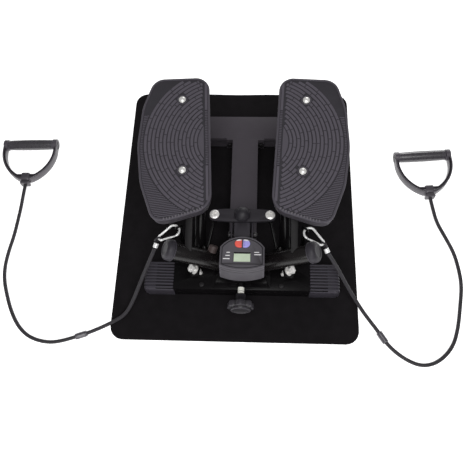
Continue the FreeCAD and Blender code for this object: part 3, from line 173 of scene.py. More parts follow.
# The edge lightening set in these finishes is a painted highlight along convex edges.
MATERIALS = {
    "mat_rubber": surface("mat_rubber", (24, 22, 24), 0.9, 1400, 0.4, 0.16, shine=0.1),
    "black_paint": surface("black_paint", (12, 11, 12), 0.2, 700, 0.005, 0.1, edge_light=0.3, shine=0.12),
    # charcoal_paint is a lighter copy of the frame's black paint; its extra lightness is a painted reflection
    # on lit tops of the frame.
    "charcoal_paint": surface("charcoal_paint", (50, 47, 51), 0.6, 1100, 0.05, 0.06, edge_light=0.3, shine=0.2),
    "grey_plastic": surface("grey_plastic", (62, 59, 65), 0.62, 1500, 0.2, 0.05, edge_light=0.25, shine=0.25),
    "black_rubber": surface("black_rubber", (38, 36, 41), 0.5, 1200, 0.15, 0.08, edge_light=0.4, shine=0.35),
    "zinc": surface("zinc", (240, 238, 235), 0.34, 900, 0.01, 0.05, metal=0.4, shine=0.6),
    "chrome": surface("chrome", (252, 252, 252), 0.3, 500, 0.005, 0.03, metal=0.3, shine=0.8),
    "oil_steel": surface("oil_steel", (39, 37, 39), 0.38, 700, 0.01, 0.1, metal=0.4),
    "nylon": surface("nylon", (34, 32, 34), 0.5, 1300, 0.1, 0.08),
    "console_plastic": surface("console_plastic", (60, 58, 62), 0.5, 1700, 0.15, 0.05, edge_light=0.35, shine=0.3),
    "display": surface("display", (210, 225, 200), 0.3, 2500, 0.02, 0.04, shine=0.3),
    "red_plastic": surface("red_plastic", (255, 104, 92), 0.36, 1500, 0.04, 0.05, shine=0.4),
    "blue_plastic": surface("blue_plastic", (174, 169, 244), 0.36, 1500, 0.04, 0.05, shine=0.4),
    "board": surface("board", (30, 74, 42), 0.45, 1500, 0.1, 0.1),
    "magnet_case": surface("magnet_case", (71, 60, 59), 0.5, 1200, 0.1, 0.1),
    "knob_plastic": surface("knob_plastic", (34, 32, 36), 0.42, 1300, 0.12, 0.08, edge_light=0.5, shine=0.4),
    "band_rubber": surface("band_rubber", (50, 48, 52), 0.6, 1500, 0.35, 0.12, weave=260, shine=0.3),
    "handle_plastic": surface("handle_plastic", (48, 45, 50), 0.36, 1300, 0.06, 0.08, edge_light=0.4, shine=0.7),
    "grip_plastic": surface("grip_plastic", (56, 53, 59), 0.28, 1600, 0.02, 0.08, edge_light=0.2, shine=1.0),
}
PRINT = surface("print_white", (236, 235, 236), 0.5, 1800, 0.03, 0.04)
# The tread's floor is darker than its ribs: painted shade in the grooves.
TREAD_SHADE = surface("tread_floor", (55, 53, 58), 0.7, 1500, 0.25, 0.06, shine=0.2)
COLLAR_PALE = surface("pale_collar", (248, 247, 236), 0.4, 900, 0.02, 0.04, shine=0.5)
# A lighter grey on the rim's short ribs: a painted highlight.
RIM_HIGHLIGHT = surface("rim_highlights", (99, 96, 102), 0.6, 1500, 0.1, 0.06)
TUBE_BLACK = surface("tube_black", (18, 15, 16), 0.27, 700, 0.005, 0.1, shine=0.4)
ARM_BLACK = surface("arm_black", (17, 16, 17), 0.5, 900, 0.02, 0.1, edge_light=0.3, shine=0.15)
MATTE_BLACK = surface("matte_black", (37, 35, 39), 0.55, 1100, 0.05, 0.06, edge_light=0.3, shine=0.25)
# Near-black painted shade: the strip across the top of the display glass and the rings round the pedal bolts.
PAINTED_SHADE = surface("painted_shade_dark", (13, 13, 14), 0.4, 1500, 0.03, 0.1)


# ---- mesh helpers ----

SHARP_ANGLE = 32                        # degrees; edges sharper than this aren't shaded smooth
SOFTEN_ANGLE, SOFTEN_STEPS = 35, 2      # a CAD edge sharper than this many degrees is rounded
WELD = 1e-7                             # points closer than this become one
SQUARE = ((-1, -1), (1, -1), (1, 1), (-1, 1))


def mesh_object(name, shape, place=None, sharp=SHARP_ANGLE):
    """A new object from a bmesh, smooth apart from edges sharper than the given angle."""
    bmesh.ops.recalc_face_normals(shape, faces=shape.faces)
    mesh = bpy.data.meshes.new(name)
    shape.to_mesh(mesh)
    shape.free()
    if place is not None:
        mesh.transform(place)
    mesh.shade_smooth()
    mesh.set_sharp_from_angle(angle=math.radians(sharp))
    obj = bpy.data.objects.new(name, mesh)
    bpy.context.scene.collection.objects.link(obj)
    return obj


def finish(obj, node, material=None):
    """The piece stands in for that CAD node: same body and slot, and its finish unless one is given."""
    obj.data.materials.clear()
    obj.data.materials.append(material or MATERIALS[SLOT_OF[node]])
    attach(obj, nodes[node]["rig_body"])
    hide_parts(node)
    return obj


def skin(shape, rings, caps=True):
    """Faces between closed rings that have the same number of points, and over the two ends."""
    rows = [[shape.verts.new(point) for point in ring] for ring in rings]
    for first, second in zip(rows, rows[1:]):
        count = len(first)
        for index in range(count):
            after = (index + 1) % count
            shape.faces.new((first[index], first[after], second[after], second[index]))
    if caps:
        shape.faces.new(rows[0])
        shape.faces.new(rows[-1])
    return rows


def hoop(shape, rings):
    """A closed band whose section runs through the rings and back to the first."""
    rows = skin(shape, rings + [rings[0]], caps=False)
    bmesh.ops.remove_doubles(shape, verts=rows[0] + rows[-1], dist=WELD)


def rounded(corners, steps=10):
    """Outline of a polygon whose corners (x, y, radius) are rounded."""
    points = []
    for index, (x, y, radius) in enumerate(corners):
        here = Vector((x, y))
        before = (Vector(corners[index - 1][:2]) - here).normalized()
        after = (Vector(corners[(index + 1) % len(corners)][:2]) - here).normalized()
        half = before.angle(after) / 2
        middle = here + (before + after).normalized() * (radius / math.sin(half))
        reach = radius / math.tan(half)
        start, end = here + before * reach, here + after * reach
        for step in range(steps + 1):
            spoke = (start - middle).lerp(end - middle, step / steps)
            points.append(middle + spoke.normalized() * radius)
    return points


def even(points, spacing):
    """The same closed outline with points at about that spacing."""
    loop = list(points) + [points[0]]
    lengths = [(b - a).length for a, b in zip(loop, loop[1:])]
    count = round(sum(lengths) / spacing)
    step = sum(lengths) / count
    result, run, travelled = [], 0, 0.0
    for index in range(count):
        target = index * step
        while travelled + lengths[run] < target:
            travelled += lengths[run]
            run += 1
        share = (target - travelled) / lengths[run] if lengths[run] else 0
        result.append(loop[run].lerp(loop[run + 1], share))
    return result


def turns(count):
    """Equal angles round a circle."""
    return [2 * math.pi * k / count for k in range(count)]


def ray(angle):
    """The 2-D direction at an angle."""
    return Vector((math.cos(angle), math.sin(angle)))


def mirrored(point, side):
    """A point or direction given for the right side, on either side."""
    return Vector((side * point.x, point.y, point.z))


def both_ends(half):
    """A turned profile with its second half mirrored from the first."""
    return half + tuple((-s, r) for s, r in reversed(half))


def turning(points):
    """+1 for a counter-clockwise outline, -1 for a clockwise one."""
    area = sum(a.x * b.y - b.x * a.y for a, b in zip(points, points[1:] + points[:1]))
    return 1 if area > 0 else -1


def inset(points, distance):
    """The outline moved inward by a distance."""
    way = turning(points)
    result = []
    for index, point in enumerate(points):
        along = (points[(index + 1) % len(points)] - points[index - 1]).normalized()
        result.append(point + Vector((-along.y, along.x)) * way * distance)
    return result


def level(points, height):
    """An outline laid at a height."""
    return [Vector((p.x, p.y, height)) for p in points]


def tower(shape, outline, steps, side=1):
    """A solid on an outline, mirrored for side -1: steps are (inset, height) from one end to the other."""
    skin(shape, [[Vector((side * p.x, p.y, z)) for p in inset(outline, d)] for d, z in steps])


def inside(point, outline):
    """Whether a point lies within a closed outline."""
    hit = False
    for a, b in zip(outline, outline[1:] + outline[:1]):
        if (a.y > point.y) != (b.y > point.y):
            if point.x < a.x + (point.y - a.y) * (b.x - a.x) / (b.y - a.y):
                hit = not hit
    return hit


def along_axis(origin, axis):
    """A place whose local Z runs along an axis."""
    z = axis.normalized()
    x = UP.cross(z).normalized() if abs(z.dot(UP)) < 0.99 else Vector((1, 0, 0))
    y = z.cross(x)
    return Matrix.Translation(origin) @ Matrix((x, y, z)).transposed().to_4x4()


def lathe(name, profile, origin, axis, sides=48, sharp=SHARP_ANGLE):
    """A turned solid: profile is (distance along the axis, radius) in mm, from one end to the other."""
    shape = bmesh.new()
    rings = [[Vector((r * math.cos(t), r * math.sin(t), s)) * MM for t in turns(sides)] for s, r in profile]
    skin(shape, rings)
    return mesh_object(name, shape, along_axis(origin, axis), sharp)


def wire(shape, points, radii, normal, sides=14):
    """A round wire along a flat path, with a radius at each point; normal is the path's plane's."""
    rings = []
    for index, (point, radius) in enumerate(zip(points, radii)):
        before, after = points[max(0, index - 1)], points[min(len(points) - 1, index + 1)]
        across = (after - before).normalized().cross(normal).normalized()
        rings.append([point + (across * math.cos(t) + normal * math.sin(t)) * radius for t in turns(sides)])
    skin(shape, rings)


def block(shape, centre, along, half_length, half_width, low, high, bevel):
    """A low bar with a bevelled top: along is its 2-D direction, low and high its heights."""
    side = Vector((-along.y, along.x))

    def ring(length, width, height):
        return [Vector((*(centre + along * length * a + side * width * b), height)) for a, b in SQUARE]

    skin(shape, [ring(half_length, half_width, low), ring(half_length, half_width, high - bevel),
                 ring(half_length - bevel, half_width - bevel, high)])


def softened(node, width, material=None):
    """A copy of a CAD node with its sharp edges rounded, in place of the node."""
    shape = bmesh.new()
    shape.from_mesh(nodes[node].data)
    bmesh.ops.remove_doubles(shape, verts=shape.verts, dist=1e-5)
    bmesh.ops.dissolve_limit(shape, angle_limit=math.radians(1), verts=shape.verts, edges=shape.edges)
    sharp = math.radians(SOFTEN_ANGLE)
    edges = [e for e in shape.edges if len(e.link_faces) == 2 and e.calc_face_angle(0) > sharp]
    bmesh.ops.bevel(shape, geom=edges, offset=width, segments=SOFTEN_STEPS, profile=0.5,
                    affect="EDGES", clamp_overlap=True)
    for layer in list(shape.loops.layers.float_vector):
        if layer.name.startswith("custom"):
            shape.loops.layers.float_vector.remove(layer)
    obj = mesh_object(node + "_shape", shape)
    for name in ("custom_normal", "sharp_face"):
        if name in obj.data.attributes:
            obj.data.attributes.remove(obj.data.attributes[name])
    return finish(obj, node, material)


def carve(obj, cutters):
    """Cuts shapes out of a piece."""
    for cutter in cutters:
        modifier = obj.modifiers.new("cut", "BOOLEAN")
        modifier.operation = "DIFFERENCE"
        modifier.solver = "EXACT"
        modifier.object = cutter
    evaluated = obj.evaluated_get(bpy.context.evaluated_depsgraph_get())
    mesh = bpy.data.meshes.new_from_object(evaluated)
    obj.modifiers.clear()
    obj.data = mesh
    mesh.set_sharp_from_angle(angle=math.radians(SHARP_ANGLE))
    for cutter in cutters:
        bpy.data.objects.remove(cutter)
    return obj


# ---- mat ----

MAT_WIDTH, MAT_LENGTH, MAT_HEIGHT, MAT_CORNER = 0.5, 0.6, 0.004, 0.028
MAT_CENTRE_X = -0.0145
MAT_EDGE = ((0.0012, 0.0), (0.0003, 0.0008), (0.0, 0.0018), (0.0004, 0.0032), (0.0016, MAT_HEIGHT))
WAVE_SHIFT, WAVE_DEPTH, WAVE_LIFT = 0.0022, 0.003, 0.0012
WAVES_ACROSS, WAVES_ALONG = 14, 6
WAVE_START = 0.75                       # the rear edge's waves begin at this share of the half length


def mat_ring(outline, scale, edge, height):
    """One ring of the mat's surface: the outline scaled, inset, and wavy towards the rear edge."""
    points = []
    for p in inset(outline, edge):
        x, y = p.x * scale, p.y * scale
        rear = max(0.0, (y / (MAT_LENGTH / 2) - WAVE_START) / (1 - WAVE_START))
        wave = noise.noise(Vector((x * WAVES_ACROSS, y * WAVES_ALONG, 0.3)))
        if scale > 0.9:
            y -= (WAVE_SHIFT + WAVE_DEPTH * wave) * rear
        lift = max(0.0, WAVE_LIFT * wave) * rear if height > 0.0005 else 0
        points.append(Vector((x + MAT_CENTRE_X, y, height + lift)))
    return points


def floor_mat():
    """The soft mat: rounded corners, a rolled edge and a slightly wavy rear edge."""
    corners = [(x * MAT_WIDTH / 2, y * MAT_LENGTH / 2, MAT_CORNER) for x, y in SQUARE]
    outline = even(rounded(corners), 0.008)
    (under, ground), *_sides, (over, top) = MAT_EDGE
    shape = bmesh.new()
    rings = [mat_ring(outline, s, under, ground) for s in (0.3, 0.6, 0.9)]
    rings += [mat_ring(outline, 1, edge, height) for edge, height in MAT_EDGE]
    rings += [mat_ring(outline, s, over, top) for s in (0.985, 0.95, 0.9, 0.8, 0.65, 0.5, 0.35, 0.2, 0.08)]
    skin(shape, rings)
    obj = finish(mesh_object("mat_sheet", shape), "floor_mat")


# ---- base frame ----

STABILIZERS = (("front", 172, -175.5), ("rear", 150, 178.5))       # half width and middle y, in mm
CAP_LENGTH, CAP_DEPTH, CAP_HEIGHT, CAP_OVERLAP = 60, 63, 42, 36
CAP_RIBS, CAP_RIM = 9, 3
CAP_PITCH = (CAP_DEPTH - 2 * CAP_RIM) / CAP_RIBS
CAP_BODY_TOP = CAP_HEIGHT - 3.2
CAP_TOP_RADIUS, CAP_FOOT_RADIUS = 8, 3
OUTER_RIB_DROP = 1.6                    # the first and last ribs follow the body's rounded edges
RIB_BEVEL, RIB_TOP_DEPTH, RIB_END_DEPTH = 0.5, 3.8, 3.4


def cap_section(side, x, shrink, top):
    """Outline of a cap's body at one place along the stabilizer."""
    half = CAP_DEPTH / 2 - shrink
    corners = [(-half, 0, CAP_FOOT_RADIUS), (half, 0, CAP_FOOT_RADIUS),
               (half, top, CAP_TOP_RADIUS), (-half, top, CAP_TOP_RADIUS)]
    return [Vector((side * x, p.x, p.y)) for p in rounded(corners, 5)]


def cap_rib(shape, side, start, y, top):
    """A rounded rib that runs along a cap's top, over its shoulder and down its end."""
    end = start + CAP_LENGTH
    top_run = [(start + 0.8, top - 1), (start + 2.4, top), (end - 6, top), (end - 2.6, top - 1.4)]
    end_run = [(end - 0.8, top - 4.6), (end, top - 9), (end, 3)]
    rows = []
    for run, depth, inward, down in ((top_run, RIB_TOP_DEPTH, 0, 1), (end_run, RIB_END_DEPTH, 1, 0)):
        section = ((-0.34, depth), (-0.3, RIB_BEVEL), (-0.2, 0), (0.2, 0), (0.3, RIB_BEVEL), (0.34, depth))
        for x, z in run:
            rows.append([Vector((side * (x - inward * sunk), y + CAP_PITCH * across, z - down * sunk))
                         for across, sunk in section])
    skin(shape, rows)


def end_caps():
    """The ribbed moulded caps on the stabilizers' ends."""
    for row, half_width, middle_y in STABILIZERS:
        for label, side in SIDES:
            start = half_width - CAP_OVERLAP
            end = start + CAP_LENGTH
            body = ((start, 2.2, CAP_BODY_TOP - 1.2), (start + 1, 1.4, CAP_BODY_TOP),
                    (end - 7.6, 1.4, CAP_BODY_TOP), (end - 4.6, 2.4, CAP_BODY_TOP - 1.4),
                    (end - 2.8, 5, CAP_BODY_TOP - 5))
            shape = bmesh.new()
            skin(shape, [cap_section(side, *place) for place in body])
            for index in range(CAP_RIBS):
                y = CAP_PITCH * (index + 0.5) + CAP_RIM - CAP_DEPTH / 2
                drop = OUTER_RIB_DROP if index in (0, CAP_RIBS - 1) else 0
                cap_rib(shape, side, start, y, CAP_HEIGHT - drop)
            place = Matrix.Translation((0, middle_y * MM, MAT_HEIGHT)) @ IN_MM
            finish(mesh_object("%s_%s_end_cap" % (row, label), shape, place), "stabilizer_end_caps")


# ---- pivot tubes' caps ----

PIVOT_TILT = math.radians(33)
PIVOT_POINT = Vector((0.1, -0.154, 0.1))
TUBE_CAP = ((37.8, 17.6), (37.8, 20.3), (38.5, 21), (40.4, 21), (40.9, 20.4), (41.7, 20.4), (42.2, 21),
            (46.2, 21), (48.6, 20.6), (50.6, 19.7), (52.2, 18.3), (53.4, 16.6), (54.3, 14.4), (54.7, 12.8),
            (54.7, 12), (54.3, 11.2), (53.8, 10.4), (53.5, 8), (53.35, 4), (53.3, 0.4))


def tube_caps():
    """Rubber caps with a lip, a rounded shoulder and a dimple in the end."""
    axis = Vector((math.cos(PIVOT_TILT), 0, math.sin(PIVOT_TILT)))
    for label, side in SIDES:
        middle, outward = mirrored(PIVOT_POINT, side), mirrored(axis, side)
        finish(lathe(label + "_tube_cap_shape", TUBE_CAP, middle, outward, 64), label + "_tube_cap")


# ---- pedals ----

PEDAL_OUTLINE = ((-62, -127, 38), (22, -149.5, 60), (52, -149, 24), (76, -72, 120),
                 (82, 5, 160), (72.5, 88, 130), (49, 150, 30), (-61, 150, 28))
PEDAL_CENTRE, PEDAL_TURN, PEDAL_TILT = Vector((0.124, 0.036, 0.1893)), -3, 7
PEDAL_BOLTS = (Vector((-6.5, -49)), Vector((-6.5, 102)))
TREAD_CENTRE = Vector((-92, 8))         # common centre of the curved ribs
TREAD_FIRST, TREAD_PITCH, TREAD_ROWS = 56, 7.55, 14
TREAD_FLOOR, TREAD_TOP = -1.5, -0.15
TREAD_MARGIN = 5.4                      # ribs keep this far from the plate's outline
RIB_START, RIB_SPACING = 0.95, 2.0      # where a curved rib begins in its row, and the gap to the next
DASH_LENGTH, DASH_VARIATION, DASH_GAP = 29, 8, 1.4
BOLT_CLEARANCE = 10.5
BOLT_BOSS = ((8.2, TREAD_FLOOR), (8.2, -0.4), (8.6, 0), (9.4, 0), (10, -0.5), (10, TREAD_FLOOR))
# The dark ring round each bolt head is painted shade in its recess.
BOLT_WELL_SHADE = ((8.25, TREAD_FLOOR), (8.25, -1.1), (7, -1.3))
FINE_PITCH, FINE_WIDTH, FINE_SLOPE, FINE_TOP = 3.6, 1.9, -0.09, -0.1
INNER_GROOVE, GROOVE_MARGIN = -50, 1.6
BAND_X = INNER_GROOVE - 3.7             # middle of the narrow band of ribs along the inner edge
BAND_REAR, BAND_FRONT, TREAD_FRONT = 74, -38, -142
SHORTEST_BAR = 2.5
MARKS_REAR, MARKS_FROM, MARKS_TO = -112, -50, 30
MARK_START, MARK_END, MARK_WIDTH, MARK_TOP = 1.6, 5.6, 2.6, 0.55
PEDAL_BODY = ((4.6, -5), (8.2, -31.6), (7.6, -32), (3.4, -32), (2.8, -31.4), (0.8, -12), (0.2, -5),
              (0, -2.8), (0.25, -1.2), (0.9, -0.3), (1.9, 0), (3.6, 0), (4.4, -0.35), (4.8, TREAD_FLOOR))


def pedal_place(side):
    """Where a foot plate's drawing lies: turned out, raised at the rear, and in mm."""
    turn = Matrix.Rotation(math.radians(PEDAL_TURN * side), 4, "Z")
    tilt = Matrix.Rotation(math.radians(PEDAL_TILT), 4, "X")
    return Matrix.Translation(mirrored(PEDAL_CENTRE, side)) @ turn @ tilt @ IN_MM


def arc_rib(shape, inner, outer, start, end, side):
    """One raised dash of a curved rib, between two radii and two angles."""
    steps = max(2, round(abs(end - start) * outer / 5))
    rows = []
    for index in range(steps + 1):
        way = ray(start + (end - start) * index / steps)
        shoulder, top = (-0.9, -0.7) if index in (0, steps) else (-0.6, TREAD_TOP)
        levels = ((inner, TREAD_FLOOR), (inner + 0.1, shoulder), (inner + 0.55, top),
                  (outer - 0.55, top), (outer - 0.1, shoulder), (outer, TREAD_FLOOR))
        points = [(TREAD_CENTRE + way * radius, z) for radius, z in levels]
        rows.append([Vector((side * p.x, p.y, z)) for p, z in points])
    skin(shape, rows)


def on_tread(point, edge):
    """Whether a rib may pass over a point: on the tread, off the groove and clear of the bolts."""
    clear = all((point - bolt).length > BOLT_CLEARANCE for bolt in PEDAL_BOLTS)
    return clear and point.x > INNER_GROOVE + GROOVE_MARGIN and inside(point, edge)


def free_runs(angles, inner, outer, edge):
    """The stretches of a dash that are clear of everything, each as its first and last angle."""
    runs = [[]]
    for angle in angles:
        if all(on_tread(TREAD_CENTRE + ray(angle) * radius, edge) for radius in (inner, outer)):
            runs[-1].append(angle)
        else:
            runs.append([])
    return [(run[0], run[-1]) for run in runs if len(run) > 2]


def tread_ribs(shape, edge, side):
    """Concentric dashes laid like bricks, clear of the two bolts."""
    for row in range(TREAD_ROWS):
        inner = TREAD_FIRST + row * TREAD_PITCH + RIB_START
        outer = inner + TREAD_PITCH - RIB_SPACING
        middle = (inner + outer) / 2
        length = DASH_LENGTH + DASH_VARIATION * ((row * 7) % 3)
        count = max(6, round(2 * math.pi * middle / length))
        pitch = 2 * math.pi / count
        gap = DASH_GAP / middle
        for index in range(count):
            start = index * pitch + (row % 2) * pitch / 2 + (row * 0.37) % 0.2
            angles = [start + gap / 2 + (pitch - gap) * k / 24 for k in range(25)]
            for first, last in free_runs(angles, inner, outer, edge):
                arc_rib(shape, inner, outer, first, last, side)


def tread_disc(shape, side):
    """The plain half disc inside the first curved rib."""
    radius = TREAD_FIRST - 0.9
    half = math.acos((INNER_GROOVE + GROOVE_MARGIN - TREAD_CENTRE.x) / radius)
    arc = [TREAD_CENTRE + radius * ray(half * k / 16) for k in range(-16, 17)]
    tower(shape, arc, ((0, TREAD_FLOOR), (0, -0.6), (0.5, TREAD_TOP)), side)


def pedal_bar(shape, low, high, width, side, top=FINE_TOP):
    """A thin straight rib between two points of the tread, unless they are too close."""
    a, b = Vector((side * low.x, low.y)), Vector((side * high.x, high.y))
    length = (b - a).length
    if length > SHORTEST_BAR:
        block(shape, (a + b) / 2, (b - a).normalized(), length / 2, width / 2, TREAD_FLOOR, top, 0.3)


def fine_ribs(shape, edge, side):
    """Fine cross ribs outside the last curved rib, and along the inner band."""
    outermost = TREAD_FIRST + TREAD_ROWS * TREAD_PITCH + 1.2
    y = float(BAND_REAR)
    while y > TREAD_FRONT:
        line = [Vector((x / 2, y + FINE_SLOPE * x / 2)) for x in range(-20, 170)]
        good = [p for p in line if inside(p, edge) and (p - TREAD_CENTRE).length > outermost]
        if good:
            pedal_bar(shape, good[0], good[-1], FINE_WIDTH, side)
        y -= FINE_PITCH
    y = float(BAND_REAR)
    while y > BAND_FRONT:
        pedal_bar(shape, Vector((BAND_X - 2.6, y)), Vector((BAND_X + 2.4, y)), FINE_WIDTH, side, 0.1)
        y -= FINE_PITCH
    for low, high in ((-112, y), (BAND_REAR + FINE_PITCH, 136)):
        pedal_bar(shape, Vector((BAND_X, low)), Vector((BAND_X, high)), 5, side)


def pedal_body(shape, outline, side):
    """The hollow moulding with a rounded rim."""
    tower(shape, outline, PEDAL_BODY, side)


def pedal_tread_floor(shape, outline, side):
    """The floor between the ribs, darker than the ribs as painted shade in the grooves."""
    tower(shape, inset(outline, 5.0), ((0, TREAD_FLOOR - 0.5), (0, TREAD_FLOOR + 0.06)), side)


def pedal_tread_ribs(shape, outline, side):
    """All the tread's ribs and the rings round its bolts."""
    edge = inset(outline, TREAD_MARGIN)
    tread_ribs(shape, edge, side)
    fine_ribs(shape, edge, side)
    tread_disc(shape, side)
    for bolt in PEDAL_BOLTS:
        middle = Vector((side * bolt.x, bolt.y))
        hoop(shape, [level([middle + ray(t) * r for t in turns(40)], z) for r, z in BOLT_BOSS])


def pedal_bolt_well_shade(shape, _outline, side):
    """A dark ring in the recess round each bolt's head: painted shade."""
    for bolt in PEDAL_BOLTS:
        circle = [Vector((side * bolt.x, bolt.y)) + ray(t) for t in turns(40)]
        tower(shape, circle, [(1 - r, z) for r, z in BOLT_WELL_SHADE])


def pedal_rim_highlights(shape, outline, side):
    """Short raised ribs along the front rim, coloured lighter as a painted highlight."""
    for index, point in enumerate(outline):
        following = outline[(index + 1) % len(outline)]
        if index % 2 == 0 and point.y < MARKS_REAR and MARKS_FROM < point.x < MARKS_TO:
            along = (following - point).normalized()
            inward = Vector((-along.y, along.x)) * turning(outline)
            start, end = point + inward * MARK_START, point + inward * MARK_END
            pedal_bar(shape, start, end, MARK_WIDTH, side, MARK_TOP)


def pedals():
    """Foot plates: moulding, tread floor darkened as painted shade, ribs, painted shade in the bolt wells,
    and rim ribs lightened as a painted highlight.
    """
    outline = even(rounded(PEDAL_OUTLINE, 12), 3.0)
    pieces = ((pedal_body, None, 40), (pedal_tread_floor, TREAD_SHADE, SHARP_ANGLE),
              (pedal_tread_ribs, None, SHARP_ANGLE), (pedal_bolt_well_shade, PAINTED_SHADE, SHARP_ANGLE),
              (pedal_rim_highlights, RIM_HIGHLIGHT, SHARP_ANGLE))
    for label, side in SIDES:
        for build, material, sharp in pieces:
            shape = bmesh.new()
            build(shape, outline, side)
            name = "%s_%s" % (label, build.__name__)
            finish(mesh_object(name, shape, pedal_place(side), sharp), label + "_pedal", material)


# ---- console ----

CONSOLE_TILT = math.radians(14.9)
CONSOLE_FACE = Vector((0.0024, -0.1592, 0.13))      # middle of the face
CONSOLE_DEPTH = 40
HALF_WIDTH, FACE_REAR, ARCH_FOOT, FACE_FRONT, FRONT_CORNER = 42.5, 38.8, 13.6, -38.8, -29.5
LCD_MIDDLE, LCD_WIDTH, LCD_LENGTH = -9.5, 31.8, 23
GLASS_GAP, SHADOW_LENGTH = 0.3, 3.2
BUTTON_MIDDLE, BUTTON_REACH, BUTTON_HALF, BUTTON_INNER, BUTTON_GAP = 21.5, 14.8, 8.2, 1.2, 0.4
# Each of these walls is a row of (inset, height) from its underside up, in mm above the case's floor.
CASE_WALL = ((3.4, 0), (1.2, 0.3), (0.3, 1.2), (0, 2.6), (0, 27.4), (0.7, 27.9), (0.7, 28.5), (0, 29),
             (0, 33), (0.5, 33.5), (0.5, 34))
FACE_WALL = ((0.5, 34.1), (0.5, 34.6), (0, 35), (0, 39), (0.3, 39.6), (1, 40), (2.9, 40), (3.3, 39.6),
             (3.4, 37.6), (4.9, 37.6), (5, 39.1), (5.4, 39.6))
CUT_WALL = ((0, 30), (0, 45))
WINDOW_WALL = ((0, 38.6), (0, 39.4), (0.1, 39.8), (0.5, 40), (1.3, 40), (1.7, 39.8), (1.8, 39.4), (1.8, 38.6))
GLASS_WALL = ((0.2, 35.5), (0, 35.8), (0, 38.2), (0.3, 38.5))
SHADOW_WALL = ((0.1, 38.45), (0, 38.7), (0.2, 38.9))
BUTTON_WALL = ((0.2, 33.6), (0, 34), (0, 40.4), (0.35, 41), (1.2, 41.4), (3, 41.6))
BUTTON_MARK_WALL = ((0, 39.7), (0, 41.8), (0.2, 41.9))
FACE_MARK_WALL = ((0, 39.2), (0, 39.66), (0.1, 39.7))
BUTTON_MARK = ((2.2, 29.9), (6, 30.3), (9.8, 29.1), (11.9, 27.4), (9.8, 26.4), (2.6, 27.4))
FACE_MARKS = ((-26.3, 0.4, 6.6), (-27.3, -6.8, 8.6), (-29.3, -14.4, 12.6),
              (27.6, 1.2, 9.6), (29.4, -4.2, 13.2))         # middle x, middle y and width


def console_place():
    """Where the console's drawing lies: tilted towards the user, in mm."""
    turn = Matrix.Rotation(-CONSOLE_TILT, 4, "X")
    normal = turn.to_3x3() @ UP
    return Matrix.Translation(CONSOLE_FACE - normal * CONSOLE_DEPTH * MM) @ turn @ IN_MM


def three_point_arc(start, middle, end, steps):
    """Points of the circle through three points, from start to end."""
    ax, ay, bx, by, cx, cy = *start, *middle, *end
    a, b, c = ax ** 2 + ay ** 2, bx ** 2 + by ** 2, cx ** 2 + cy ** 2
    d = 2 * (ax * (by - cy) + bx * (cy - ay) + cx * (ay - by))
    centre = Vector((a * (by - cy) + b * (cy - ay) + c * (ay - by),
                     a * (cx - bx) + b * (ax - cx) + c * (bx - ax))) / d
    first, through, last = (Vector(point) - centre for point in (start, middle, end))
    sweep = first.angle_signed(through) + through.angle_signed(last)
    return [centre + Matrix.Rotation(-sweep * k / steps, 2) @ first for k in range(steps + 1)]


def console_outline():
    """Arched top, straight sides and a bowed front, seen from above."""
    top = three_point_arc((HALF_WIDTH, ARCH_FOOT), (0, FACE_REAR), (-HALF_WIDTH, ARCH_FOOT), 40)
    bottom = three_point_arc((-HALF_WIDTH, FRONT_CORNER), (0, FACE_FRONT), (HALF_WIDTH, FRONT_CORNER), 24)
    return even(top + bottom, 2.2)


def button_outline(side, margin):
    """Half an oval with a straight inner edge, grown by a margin."""
    inner_x = side * (BUTTON_INNER - margin)
    reach, half = BUTTON_REACH + margin, BUTTON_HALF + margin
    curve = three_point_arc((inner_x, BUTTON_MIDDLE + half), (side * reach, BUTTON_MIDDLE),
                            (inner_x, BUTTON_MIDDLE - half), 20)
    straight = [Vector((inner_x, BUTTON_MIDDLE + half * t)) for t in (-0.6, -0.2, 0.2, 0.6)]
    return curve + straight


def box_outline(x, y, width, length, radius=0.6):
    """A rectangle round a middle point, with rounded corners."""
    return rounded([(x + a * width / 2, y + b * length / 2, radius) for a, b in SQUARE], 4)


def slab(name, outline, wall):
    """A flat piece of the console with that outline and wall."""
    shape = bmesh.new()
    tower(shape, outline, wall)
    return mesh_object(name, shape, console_place())


def console_display():
    """The window's raised frame, the glass, and a dark strip across the glass's top that is a painted shadow.
    """
    shape = bmesh.new()
    outline = box_outline(0, LCD_MIDDLE, LCD_WIDTH + 5, LCD_LENGTH + 5, 1.5)
    hoop(shape, [level(inset(outline, d), z) for d, z in WINDOW_WALL])
    finish(mesh_object("console_window_frame", shape, console_place()), "console_bezel")
    width, length = LCD_WIDTH - 2 * GLASS_GAP, LCD_LENGTH - 2 * GLASS_GAP
    finish(slab("lcd_glass", box_outline(0, LCD_MIDDLE, width, length), GLASS_WALL), "lcd_panel")
    # The dark strip across the glass's top is a painted shadow.
    shadow = box_outline(0, LCD_MIDDLE + (length - SHADOW_LENGTH) / 2 - 0.1, width - 0.3, SHADOW_LENGTH, 0.4)
    finish(slab("lcd_top_shadow", shadow, SHADOW_WALL), "lcd_panel", PAINTED_SHADE)


